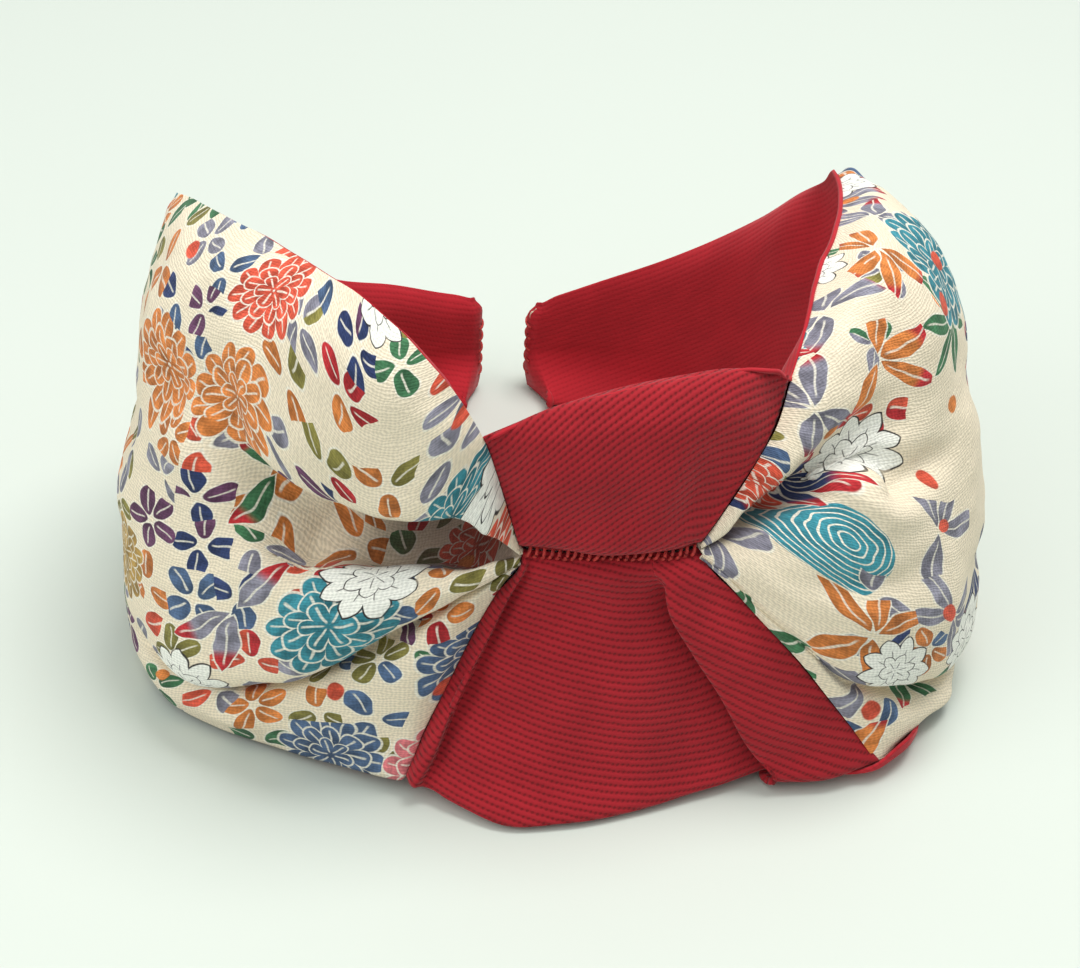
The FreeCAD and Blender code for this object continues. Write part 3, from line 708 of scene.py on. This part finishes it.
def knot_stitch_paths():
    """Whip stitches over the slit: each leans to one side and digs into both flaps."""
    random = np.random.default_rng(7)
    across, ahead = zip(*SLIT)
    paths = []
    for index in range(KNOT_STITCH_COUNT):
        middle = across[0] + (across[-1] - across[0]) * (index + 0.5) / KNOT_STITCH_COUNT
        lean = random.uniform(0.3, 0.9)
        reach = random.uniform(1.1, 1.6)
        rise = random.uniform(0.9, 1.3)
        path = []
        for step in np.linspace(-1, 1, 13):
            x = middle + lean * step
            front = np.interp(x, across, ahead) - 0.3 + (rise + 0.9) * math.cos(step * math.pi / 2) ** 0.6
            path.append((CENTRE[0] + x, CENTRE[1] - front, 51.0 + reach * step))
        paths.append(path)
    return paths


def tip_stitch_paths(end):
    """Small whip stitches over the closed end of an arm."""
    sign = 1 if end > 0 else -1
    radius = float(opening_radius(end)) + 1.8
    paths = []
    for height in (5.5, 8.6, 11.8, 15, 18.2):
        path = []
        for step in np.linspace(-1, 1, 13):
            reach = math.cos(step * math.pi / 2) ** 0.7
            path.append(polar(np.array(end + sign * (reach * 1.0 - 0.9)), radius + 1.9 * step,
                              height + 0.8 * step))
        paths.append(path)
    return paths


# ---------------------------------------------------------------- shader building

class Graph:
    """Short names for the nodes of one tree."""

    def __init__(self, tree):
        self.tree = tree

    def add(self, kind, **settings):
        node = self.tree.nodes.new(kind)
        for name, value in settings.items():
            setattr(node, name, value)
        return node

    def feed(self, socket, value):
        if isinstance(value, bpy.types.NodeSocket):
            self.tree.links.new(value, socket)
        else:
            socket.default_value = value

    def math(self, operation, *values):
        node = self.add("ShaderNodeMath", operation=operation)
        for socket, value in zip(node.inputs, values):
            self.feed(socket, value)
        return node.outputs[0]

    def times(self, first, second):
        return self.math("MULTIPLY", first, second)

    def plus(self, first, second):
        return self.math("ADD", first, second)

    def minus(self, first, second):
        return self.math("SUBTRACT", first, second)

    def vector(self, operation, *values):
        node = self.add("ShaderNodeVectorMath", operation=operation)
        for socket, value in zip(node.inputs, values):
            self.feed(socket, value)
        return node.outputs["Value" if operation in ("LENGTH", "DOT_PRODUCT") else "Vector"]

    def scale(self, vector, factor):
        node = self.add("ShaderNodeVectorMath", operation="SCALE")
        self.feed(node.inputs[0], vector)
        self.feed(node.inputs["Scale"], factor)
        return node.outputs["Vector"]

    def mix(self, share, first, second):
        node = self.add("ShaderNodeMix", data_type="RGBA")
        self.feed(node.inputs["Factor"], share)
        self.feed(node.inputs[6], first)
        self.feed(node.inputs[7], second)
        return node.outputs[2]

    def span(self, value, low, high, to_low=0.0, to_high=1.0):
        node = self.add("ShaderNodeMapRange", interpolation_type="SMOOTHSTEP")
        for socket, given in zip(node.inputs, (value, low, high, to_low, to_high)):
            self.feed(socket, given)
        return node.outputs[0]

    def below(self, value, limit, soft=0.04):
        """1 where value is under the limit, 0 above, with a soft step."""
        return self.span(value, limit - soft, limit + soft, 1.0, 0.0)

    def noise(self, vector, scale, detail=2.0, output="Fac"):
        node = self.add("ShaderNodeTexNoise")
        self.feed(node.inputs["Vector"], vector)
        self.feed(node.inputs["Scale"], scale)
        self.feed(node.inputs["Detail"], detail)
        return node.outputs[output]

    def cells(self, vector, randomness):
        node = self.add("ShaderNodeTexVoronoi", voronoi_dimensions="2D")
        self.feed(node.inputs["Vector"], vector)
        self.feed(node.inputs["Scale"], 1.0)
        self.feed(node.inputs["Randomness"], randomness)
        return node.outputs

    def split(self, vector):
        node = self.add("ShaderNodeSeparateXYZ")
        self.feed(node.inputs[0], vector)
        return node.outputs

    def join(self, x, y, z=0.0):
        node = self.add("ShaderNodeCombineXYZ")
        for socket, value in zip(node.inputs, (x, y, z)):
            self.feed(socket, value)
        return node.outputs[0]

    def turn(self, vector, angle):
        node = self.add("ShaderNodeVectorRotate", rotation_type="Z_AXIS")
        self.feed(node.inputs["Vector"], vector)
        self.feed(node.inputs["Angle"], angle)
        return node.outputs[0]

    def palette(self, value, colours):
        node = self.add("ShaderNodeValToRGB")
        ramp = node.color_ramp
        ramp.interpolation = "CONSTANT"
        while len(ramp.elements) < len(colours):
            ramp.elements.new(0.5)
        for index, colour in enumerate(colours):
            ramp.elements[index].position = index / len(colours)
            ramp.elements[index].color = (*colour, 1)
        self.feed(node.inputs[0], value)
        return node.outputs[0]


def petal_ring_group():
    """Node group: petals around a centre. Gives distance to the petal (1 at its edge), place along
    and across it, and a random number for each petal."""
    tree = bpy.data.node_groups.new("petal_ring", "ShaderNodeTree")
    for name, kind in (("Local", "NodeSocketVector"), ("Count", "NodeSocketFloat"),
                       ("Reach", "NodeSocketFloat"), ("Length", "NodeSocketFloat"),
                       ("Width", "NodeSocketFloat"), ("Taper", "NodeSocketFloat"),
                       ("Seed", "NodeSocketFloat"), ("Point", "NodeSocketFloat")):
        tree.interface.new_socket(name, in_out="INPUT", socket_type=kind)
    for name in ("Distance", "Along", "Across", "Random"):
        tree.interface.new_socket(name, in_out="OUTPUT", socket_type="NodeSocketFloat")
    g = Graph(tree)
    given = g.add("NodeGroupInput").outputs
    x, y, _ = g.split(given["Local"])
    angle = g.math("ARCTAN2", y, x)
    place = g.math("DIVIDE", g.times(angle, given["Count"]), 2 * math.pi)
    whole = g.math("ROUND", place)
    past = g.times(g.minus(place, whole), 2 * math.pi)
    off = g.math("DIVIDE", past, given["Count"])
    radius = g.vector("LENGTH", given["Local"])
    out = g.minus(g.times(radius, g.math("COSINE", off)), given["Reach"])
    across = g.times(radius, g.math("SINE", off))
    along_petal = g.math("DIVIDE", out, g.times(given["Length"], 0.5))
    wide = g.times(g.times(given["Width"], 0.5),
                   g.plus(1.0, g.times(given["Taper"], along_petal)))
    sideways = g.math("DIVIDE", across, g.math("MAXIMUM", wide, 0.05))
    lengthwise = g.math("POWER", g.math("ABSOLUTE", along_petal), 2.0)
    beside = g.math("ABSOLUTE", sideways)
    rounded = g.math("SQRT", g.plus(lengthwise, g.math("POWER", beside, 2.0)))
    pointed = g.plus(lengthwise, beside)
    distance = g.plus(g.times(rounded, g.minus(1.0, given["Point"])),
                      g.times(pointed, given["Point"]))
    noise = g.add("ShaderNodeTexWhiteNoise", noise_dimensions="2D")
    g.feed(noise.inputs["Vector"], g.join(whole, given["Seed"]))
    result = g.add("NodeGroupOutput").inputs
    for name, value in (("Distance", distance), ("Along", along_petal), ("Across", across),
                        ("Random", noise.outputs["Value"])):
        g.feed(result[name], value)
    return tree


PETAL_RING = petal_ring_group()


def petals(g, local, count, reach, length, width, taper, seed, point=0.0):
    node = g.add("ShaderNodeGroup", node_tree=PETAL_RING)
    for socket, value in zip(node.inputs, (local, count, reach, length, width, taper, seed, point)):
        g.feed(socket, value)
    return node.outputs


# ---------------------------------------------------------------- floral print

CORAL = (0.62, 0.09, 0.05)
RED = (0.45, 0.028, 0.035)
ORANGE = (0.64, 0.21, 0.055)
OCHRE = (0.46, 0.28, 0.07)
OLIVE = (0.21, 0.185, 0.05)
GREEN = (0.055, 0.17, 0.08)
TEAL = (0.04, 0.215, 0.27)
SLATE = (0.075, 0.125, 0.23)
NAVY = (0.032, 0.05, 0.14)
LILAC = (0.25, 0.24, 0.30)
PURPLE = (0.13, 0.05, 0.11)
PINK = (0.70, 0.19, 0.21)
GROUND = (0.84, 0.73, 0.565, 1)
LIGHT_LINE = (0.86, 0.81, 0.70, 1)
WHITE_PETAL = (0.88, 0.87, 0.81, 1)
INK = (0.035, 0.03, 0.03, 1)

LEAF_COLOURS = [LILAC, GREEN, ORANGE, SLATE, CORAL, LILAC, OLIVE, NAVY, RED, LILAC, GREEN, PURPLE, ORANGE,
                OLIVE]
HEAD_COLOURS = [TEAL, ORANGE, SLATE, CORAL, PINK, CORAL, TEAL, OCHRE]
REED_COLOURS = [LILAC, LILAC, ORANGE, SLATE, LILAC, GREEN, NAVY]


def ribs(g, value, spacing):
    """Wave from 0 to 1 that repeats at a spacing in millimetres."""
    wave = g.math("SINE", g.times(value, 2 * math.pi / spacing))
    return g.plus(g.times(wave, 0.5), 0.5)


def motif_cells(g, mm, cell, shift, randomness):
    """Cell-local position in millimetres, turned at random, and three random numbers per cell."""
    moved = g.vector("ADD", mm, (shift * 3.7, shift * 9.1, 0.0))
    scaled = g.scale(moved, 1 / cell)
    found = g.cells(scaled, randomness)
    first, second, third = g.split(found["Color"])
    size = g.times(g.span(third, 0.0, 1.0, 0.92, 1.15), cell)
    local = g.scale(g.vector("SUBTRACT", scaled, found["Position"]), size)
    return g.turn(local, g.times(first, 2 * math.pi)), first, second, third


def paint(g, below_colour, shape, colour, tone, halo, present):
    """Lay petals over what is below: a pale gap, the toned petal and its pale midrib."""
    gap = g.times(g.below(shape["Distance"], 1 + halo), present)
    body = g.times(g.below(shape["Distance"], 0.97), present)
    outward = g.times(shape["Along"], 0.16)
    shade = g.plus(outward, g.times(shape["Random"], 0.28))
    value = g.times(g.plus(shade, 0.78), tone)
    toned = g.scale(colour, value)
    rib = g.times(g.below(g.math("ABSOLUTE", shape["Across"]), 0.13, 0.07),
                  g.below(g.math("ABSOLUTE", shape["Along"]), 0.7, 0.1))
    toned = g.mix(g.times(rib, 0.75), toned, LIGHT_LINE)
    result = g.mix(g.times(gap, 0.85), below_colour, LIGHT_LINE)
    return g.mix(body, result, toned)


def print_colour(g, mm, style):
    """Colour of the print at a place on the cloth in millimetres."""
    mm = g.scale(mm, 1 / style["enlarged"])
    warp = g.vector("SUBTRACT", g.noise(mm, 0.14, 2.0, "Color"), (0.5, 0.5, 0.5))
    mm = g.vector("ADD", mm, g.scale(warp, 3.0))
    pigment = g.span(g.noise(mm, 0.5, 4.0), 0.25, 0.75, 0.62, 1.4)
    colour = g.mix(g.times(g.noise(mm, 0.03, 2.0), 0.25), GROUND, (0.80, 0.69, 0.54, 1))

    # Pools of water: discs of pale rings.
    local, _, second, _ = motif_cells(g, mm, style["pool_cell"], 4.0, 0.35)
    present = g.below(second, style["pool_share"], 0.001)
    off = g.vector("LENGTH", g.vector("ADD", local, (2.0, 0.0, 0.0)))
    inside = g.times(g.below(g.vector("LENGTH", local), 7.2, 0.1), present)
    lines = g.span(ribs(g, off, 0.95), 0.8, 0.95)
    water = g.mix(lines, g.scale(TEAL, g.plus(pigment, 0.25)), LIGHT_LINE)
    colour = g.mix(inside, colour, water)

    # Clusters of small rounded leaves.
    local, _, second, third = motif_cells(g, mm, style["leaf_cell"], 1.0, 0.48)
    present = g.below(second, style["leaf_share"], 0.001)
    count = g.plus(3.0, g.math("ROUND", g.times(third, 1.8)))
    shape = petals(g, local, count, 2.95, 4.3, 3.0, 0.1, second)
    kept = g.times(present, g.math("GREATER_THAN", shape["Random"], 0.1))
    other = g.times(g.math("GREATER_THAN", shape["Random"], 0.75), 0.29)
    leaf = g.palette(g.math("FRACT", g.plus(third, other)), LEAF_COLOURS)
    colour = paint(g, colour, shape, leaf, pigment, 0.08, kept)

    # Sprays of long pointed leaves, some with red tips.
    local, first, second, third = motif_cells(g, mm, style["reed_cell"], 2.0, 0.45)
    present = g.below(second, style["reed_share"], 0.001)
    shape = petals(g, local, 7.0, 4.9, 8.6, 3.0, -0.1, second, 0.8)
    kept = g.times(present, g.math("GREATER_THAN", shape["Random"], 0.36))
    reed = g.palette(third, REED_COLOURS)
    red_tip = g.times(g.span(shape["Along"], 0.15, 0.5), g.below(first, 0.5, 0.01))
    colour = paint(g, colour, shape, g.mix(red_tip, reed, (*RED, 1)), pigment, 0.1, kept)

    # Full flower heads of three rings.
    local, _, second, third = motif_cells(g, mm, style["head_cell"], 5.0, 0.3)
    present = g.below(second, style["head_share"], 0.001)
    head = g.palette(third, HEAD_COLOURS)
    for count, reach, length, width in ((11.0, 4.9, 4.4, 2.9), (9.0, 3.2, 3.7, 2.3), (6.0, 1.6, 2.8, 1.7)):
        shape = petals(g, local, count, reach, length, width, 0.3, third)
        colour = paint(g, colour, shape, head, pigment, 0.12, present)

    # Round berries.
    local, _, second, third = motif_cells(g, mm, 6.5, 7.0, 0.6)
    berry = g.times(g.below(g.vector("LENGTH", local), 1.25, 0.12), g.below(second, 0.1, 0.001))
    colour = g.mix(berry, colour, g.scale(g.palette(third, [CORAL, ORANGE]), pigment))

    # White blossoms drawn in ink.
    local, _, second, third = motif_cells(g, mm, style["blossom_cell"], 9.0, 0.35)
    present = g.below(second, style["blossom_share"], 0.001)
    for count, reach, length, width in ((9.0, 3.4, 4.8, 2.7), (6.0, 1.5, 2.9, 1.8)):
        shape = petals(g, local, count, reach, length, width, 0.3, third, 0.45)
        ink = g.times(g.below(shape["Distance"], 1.09, 0.03), present)
        fill = g.times(g.below(shape["Distance"], 0.96, 0.03), present)
        colour = g.mix(g.times(ink, g.span(pigment, 0.6, 1.0, 0.55, 1.0)), colour, INK)
        colour = g.mix(fill, colour, WHITE_PETAL)
        stroke = g.times(g.below(g.math("ABSOLUTE", shape["Across"]), 0.07, 0.04),
                         g.below(g.math("ABSOLUTE", g.plus(shape["Along"], 0.3)), 0.4, 0.1))
        colour = g.mix(g.times(g.times(stroke, fill), 0.8), colour, INK)
    return colour


# The two sides of one cloth: how enlarged the motifs are, how dark the shade painted into the deep fold
# is, and for each kind of motif the size of its cells in millimetres and the share of them that hold one.
LEFT_PRINT = {"enlarged": 1.45, "fold_painted_shade": 0.72, "leaf_cell": 7.9, "leaf_share": 0.97,
              "reed_cell": 19, "reed_share": 0.1, "head_cell": 15.5, "head_share": 0.42,
              "blossom_cell": 19, "blossom_share": 0.22, "pool_cell": 26, "pool_share": 0.0}
RIGHT_PRINT = {"enlarged": 1.5, "fold_painted_shade": 0.4, "leaf_cell": 9, "leaf_share": 0.22,
               "reed_cell": 12.5, "reed_share": 0.72, "head_cell": 20, "head_share": 0.16,
               "blossom_cell": 17, "blossom_share": 0.24, "pool_cell": 21, "pool_share": 0.3}


def new_material(name):
    material = bpy.data.materials.new(name)
    material.use_nodes = True
    return material, Graph(material.node_tree), material.node_tree.nodes["Principled BSDF"]


def cloth_place(g):
    uv = g.add("ShaderNodeUVMap", uv_map="cloth_mm")
    return uv.outputs[0]


def bump_normal(g, height, distance, strength=1.0):
    node = g.add("ShaderNodeBump")
    g.feed(node.inputs["Height"], height)
    g.feed(node.inputs["Distance"], distance)
    g.feed(node.inputs["Strength"], strength)
    return node.outputs[0]


def make_print_material(name, style):
    """Crepe with a watercolour floral print: uneven crosswise ribs under the colours."""
    material, g, shader = new_material(name)
    mm = cloth_place(g)
    x, y, _ = g.split(mm)
    wobble = g.noise(g.join(g.times(x, 0.5), y), 0.9, 3.0)
    weft = ribs(g, g.plus(y, g.times(wobble, 1.3)), 0.62)
    warp = ribs(g, g.plus(x, g.times(wobble, 1.5)), 0.74)
    weave = g.plus(g.times(weft, 0.6), g.times(warp, 0.4))
    colour = print_colour(g, mm, style)
    shade = g.span(weave, 0.1, 0.9, 0.82, 1.08)
    # Painted shade: inside the deep folds by the knot the fold_shade attribute mixes the print towards a dark
    # red-brown, standing in for the shadow there.
    depth = g.add("ShaderNodeAttribute", attribute_name="fold_shade").outputs["Fac"]
    painted_fold_shade = g.mix(g.times(depth, style["fold_painted_shade"]), colour, (0.10, 0.03, 0.025, 1))
    g.feed(shader.inputs["Base Color"], g.scale(painted_fold_shade, shade))
    shader.inputs["Roughness"].default_value = 0.92
    shader.inputs["Specular IOR Level"].default_value = 0.2
    shader.inputs["Sheen Weight"].default_value = 0.08
    g.feed(shader.inputs["Normal"], bump_normal(g, weave, 0.00013, 0.8))
    return material


def make_twill_material(name, relief, tone):
    """Crimson twill: slanted ribs with small dark pits between them. Relief is how strongly they
    show, from 0 to 1, and tone how light the cloth is."""
    material, g, shader = new_material(name)
    mm = cloth_place(g)
    x, y, _ = g.split(mm)
    wobble = g.noise(mm, 0.5, 3.0)
    rise = g.plus(y, g.times(wobble, 0.5))
    rib = g.math("POWER", ribs(g, rise, 1.4), 0.6)
    pit = g.times(ribs(g, g.plus(x, g.times(rise, 0.36)), 1.0),
                  g.minus(1.0, rib))
    height = g.minus(rib, g.times(pit, 0.6))
    patch = g.span(g.noise(mm, 0.09, 3.0), 0.3, 0.7, 0.92 * tone, 1.08 * tone)
    rib_light = g.span(rib, 0.1, 0.8, 1 - relief, 1.0)
    rib_shade = g.mix(rib_light, (0.28, 0.010, 0.016, 1), (0.37, 0.014, 0.023, 1))
    colour = g.mix(g.span(pit, 0.15, 0.7, 0.0, 0.55 * relief), rib_shade, (0.11, 0.005, 0.008, 1))
    g.feed(shader.inputs["Base Color"], g.scale(colour, patch))
    shader.inputs["Roughness"].default_value = 0.88
    shader.inputs["Specular IOR Level"].default_value = 0.2
    shader.inputs["Sheen Weight"].default_value = 0.1
    g.feed(shader.inputs["Normal"], bump_normal(g, height, 0.00018, 0.7 * relief))
    return material


def make_thread_material(name):
    material, g, shader = new_material(name)
    place = g.add("ShaderNodeTexCoord").outputs["Object"]
    strand = g.noise(g.scale(place, 1000.0), 1.6, 2.0)
    g.feed(shader.inputs["Base Color"],
           g.mix(g.span(strand, 0.35, 0.65), (0.30, 0.015, 0.014, 1), (0.52, 0.035, 0.028, 1)))
    shader.inputs["Roughness"].default_value = 0.7
    g.feed(shader.inputs["Normal"], bump_normal(g, strand, 0.0002))
    return material


def make_core_material(name):
    material, g, shader = new_material(name)
    place = g.add("ShaderNodeTexCoord").outputs["Object"]
    cloud = g.noise(g.scale(place, 1000.0), 0.2, 3.0)
    g.feed(shader.inputs["Base Color"], g.mix(cloud, (0.62, 0.61, 0.57, 1), (0.72, 0.71, 0.68, 1)))
    shader.inputs["Roughness"].default_value = 0.4
    return material


def make_floor_material(name):
    """Pale, faintly green board with a soft unevenness."""
    material, g, shader = new_material(name)
    place = g.add("ShaderNodeTexCoord").outputs["Object"]
    cloud = g.noise(place, 2.5, 3.0)
    g.feed(shader.inputs["Base Color"], g.mix(cloud, (0.605, 0.65, 0.60, 1), (0.635, 0.68, 0.63, 1)))
    shader.inputs["Roughness"].default_value = 0.6
    shader.inputs["Specular IOR Level"].default_value = 0.2
    return material


def wear(piece, material):
    piece.data.materials.clear()
    piece.data.materials.append(material)


PRINT_ON_LEFT = make_print_material("floral_crepe_left", LEFT_PRINT)
PRINT_ON_RIGHT = make_print_material("floral_crepe_right", RIGHT_PRINT)
TWILL = make_twill_material("crimson_twill", 1.0, 1.0)
# Lining twill: weaker ribs, and 1.22 times lighter than the flaps' twill as painted light, standing in for
# the light falling on the arms' inner walls.
TWILL_LINING_PAINTED_LIGHT = make_twill_material("crimson_twill_lining_painted_light", 0.3, 1.22)
PLASTIC = make_core_material("core_resin")
THREAD = make_thread_material("whip_thread")
BOARD = make_floor_material("pale_board")

# ---------------------------------------------------------------- pieces


def bend_with(piece):
    """Bake the cloth's placement into its mesh; it stays unattached and does not bend with an arm."""
    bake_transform(piece)


print_left = make_print("print_left_cloth", LEFT_WING, TOP_LEFT, HEM_LEFT, LEFT_PHI, LEFT_DENTS,
                        (3.0, 6.0), (9, 22, 40))
print_right = make_print("print_right_cloth", RIGHT_WING, TOP_RIGHT, HEM_RIGHT, RIGHT_PHI, RIGHT_DENTS,
                         (2.0, 4.0), (17, 22, 38))
left_lip = np.full(len(LINING_LEFT_PHI), 0.3)
right_lip = 0.3 + 4.0 * bump(LINING_RIGHT_PHI, 42.5, 5.5)
lining_left = make_lining("lining_left_cloth", LINING_TOP_LEFT, BASE_LEFT + [(14, 80, 1.4)],
                          LINING_LEFT_PHI, left_lip)
lining_right = make_lining("lining_right_cloth", LINING_TOP_RIGHT, [(10, 80, 1.4)] + BASE_RIGHT,
                           LINING_RIGHT_PHI, right_lip)
flap_edge, flap_panel, flap_pleat = lower_flap_pieces()
upper_flap = upper_flap_piece()
knot_thread = thread_mesh("knot_stitches_thread", knot_stitch_paths(), 0.34)
tip_thread_left = thread_mesh("tip_stitches_left_thread", tip_stitch_paths(LEFT_END), 0.28)
tip_thread_right = thread_mesh("tip_stitches_right_thread", tip_stitch_paths(RIGHT_END), 0.28)

for piece, material in ((print_left, PRINT_ON_LEFT), (print_right, PRINT_ON_RIGHT)):
    wear(piece, material)
for piece, material in ((lining_left, TWILL_LINING_PAINTED_LIGHT), (lining_right, TWILL_LINING_PAINTED_LIGHT), (flap_edge, TWILL),
                        (flap_panel, TWILL), (flap_pleat, TWILL), (upper_flap, TWILL)):
    wear(piece, material)
for piece in (knot_thread, tip_thread_left, tip_thread_right):
    wear(piece, THREAD)
for node in ("core_band_front", "core_band_left", "core_band_right"):
    wear(bpy.data.objects[node], PLASTIC)

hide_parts("print_wing_left", "print_arm_left")
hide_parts("print_wing_right", "print_arm_right")
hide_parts("lining_front", "lining_left")
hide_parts("lining_front", "lining_right")
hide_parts("lower_flap_edge")
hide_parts("lower_flap_panel")
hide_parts("lower_flap_pleat")
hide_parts("upper_flap")
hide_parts("knot_stitches")
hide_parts("tip_stitches_left")
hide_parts("tip_stitches_right")

for piece, arm in ((print_left, "left_arm"), (print_right, "right_arm"),
                   (lining_left, "left_arm"), (lining_right, "right_arm")):
    bend_with(piece)
for piece in (flap_edge, flap_panel, flap_pleat, upper_flap, knot_thread):
    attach(piece, "crown")
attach(tip_thread_left, "left_arm")
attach(tip_thread_right, "right_arm")

# ---------------------------------------------------------------- camera, floor and light

VIEW_TARGET = Vector((-2.3, -25, 40)) * MM
VIEW_DISTANCE = 0.52
VIEW_TURN = math.radians(-8)
VIEW_RISE = math.radians(37)
VIEW_ROLL = math.radians(3.5)
LENS = 86.67
SENSOR_WIDTH = 36
LENS_SHIFT = 0.0148
FLOOR_HALF = 3.0


def make_camera():
    back = Vector((math.sin(VIEW_TURN) * math.cos(VIEW_RISE), -math.cos(VIEW_TURN) * math.cos(VIEW_RISE),
                   math.sin(VIEW_RISE)))
    level = Vector((math.cos(VIEW_TURN), math.sin(VIEW_TURN), 0))
    above = back.cross(level)
    right = level * math.cos(VIEW_ROLL) + above * math.sin(VIEW_ROLL)
    up = above * math.cos(VIEW_ROLL) - level * math.sin(VIEW_ROLL)
    data = bpy.data.cameras.new("camera")
    data.lens = LENS
    data.sensor_width = SENSOR_WIDTH
    data.shift_x = -LENS_SHIFT
    data.shift_y = LENS_SHIFT
    camera = bpy.data.objects.new("camera", data)
    camera.matrix_world = Matrix.Translation(VIEW_TARGET + back * VIEW_DISTANCE) @ Matrix(
        (right, up, back)).transposed().to_4x4()
    bpy.context.collection.objects.link(camera)
    bpy.context.scene.camera = camera


def make_light(name, place, aim, size, power, colour):
    data = bpy.data.lights.new(name, "AREA")
    data.shape = "DISK"
    data.size = size
    data.energy = power
    data.color = colour
    light = bpy.data.objects.new(name, data)
    light.location = place
    light.rotation_euler = (Vector(aim) - Vector(place)).to_track_quat("-Z", "Y").to_euler()
    bpy.context.collection.objects.link(light)
    return light


def make_floor():
    mesh = bpy.data.meshes.new("floor")
    corners = [(-1, -1), (1, -1), (1, 1), (-1, 1)]
    mesh.from_pydata([(x * FLOOR_HALF, y * FLOOR_HALF, 0) for x, y in corners], [], [(0, 1, 2, 3)])
    floor = bpy.data.objects.new("floor", mesh)
    floor.location.z = -0.0004
    bpy.context.collection.objects.link(floor)
    wear(floor, BOARD)
    return floor


make_camera()
floor = make_floor()
lights = [
    make_light("window", (0.22, 0.10, 1.0), (0, 0, 0.02), 0.55, 7.6, (1, 0.99, 0.97)),
    make_light("side", (-0.8, -0.35, 0.45), (0, 0, 0.05), 0.8, 2.6, (0.98, 1, 0.98)),
    make_light("room", (-0.4, -0.5, 1.1), (0, 0, 0.03), 1.0, 2.6, (0.98, 1, 0.98)),
]
world = bpy.data.worlds.new("room_light")
bpy.context.scene.world = world
world.use_nodes = True
sky = Graph(world.node_tree)
height = sky.split(sky.add("ShaderNodeTexCoord").outputs["Generated"])[2]
backdrop = world.node_tree.nodes["Background"]
sky.feed(backdrop.inputs["Color"],
         sky.mix(sky.span(height, -0.1, 0.9), (0.30, 0.315, 0.305, 1), (0.92, 0.97, 0.94, 1)))
backdrop.inputs["Strength"].default_value = 0.74
bpy.context.scene.view_settings.view_transform = "Standard"
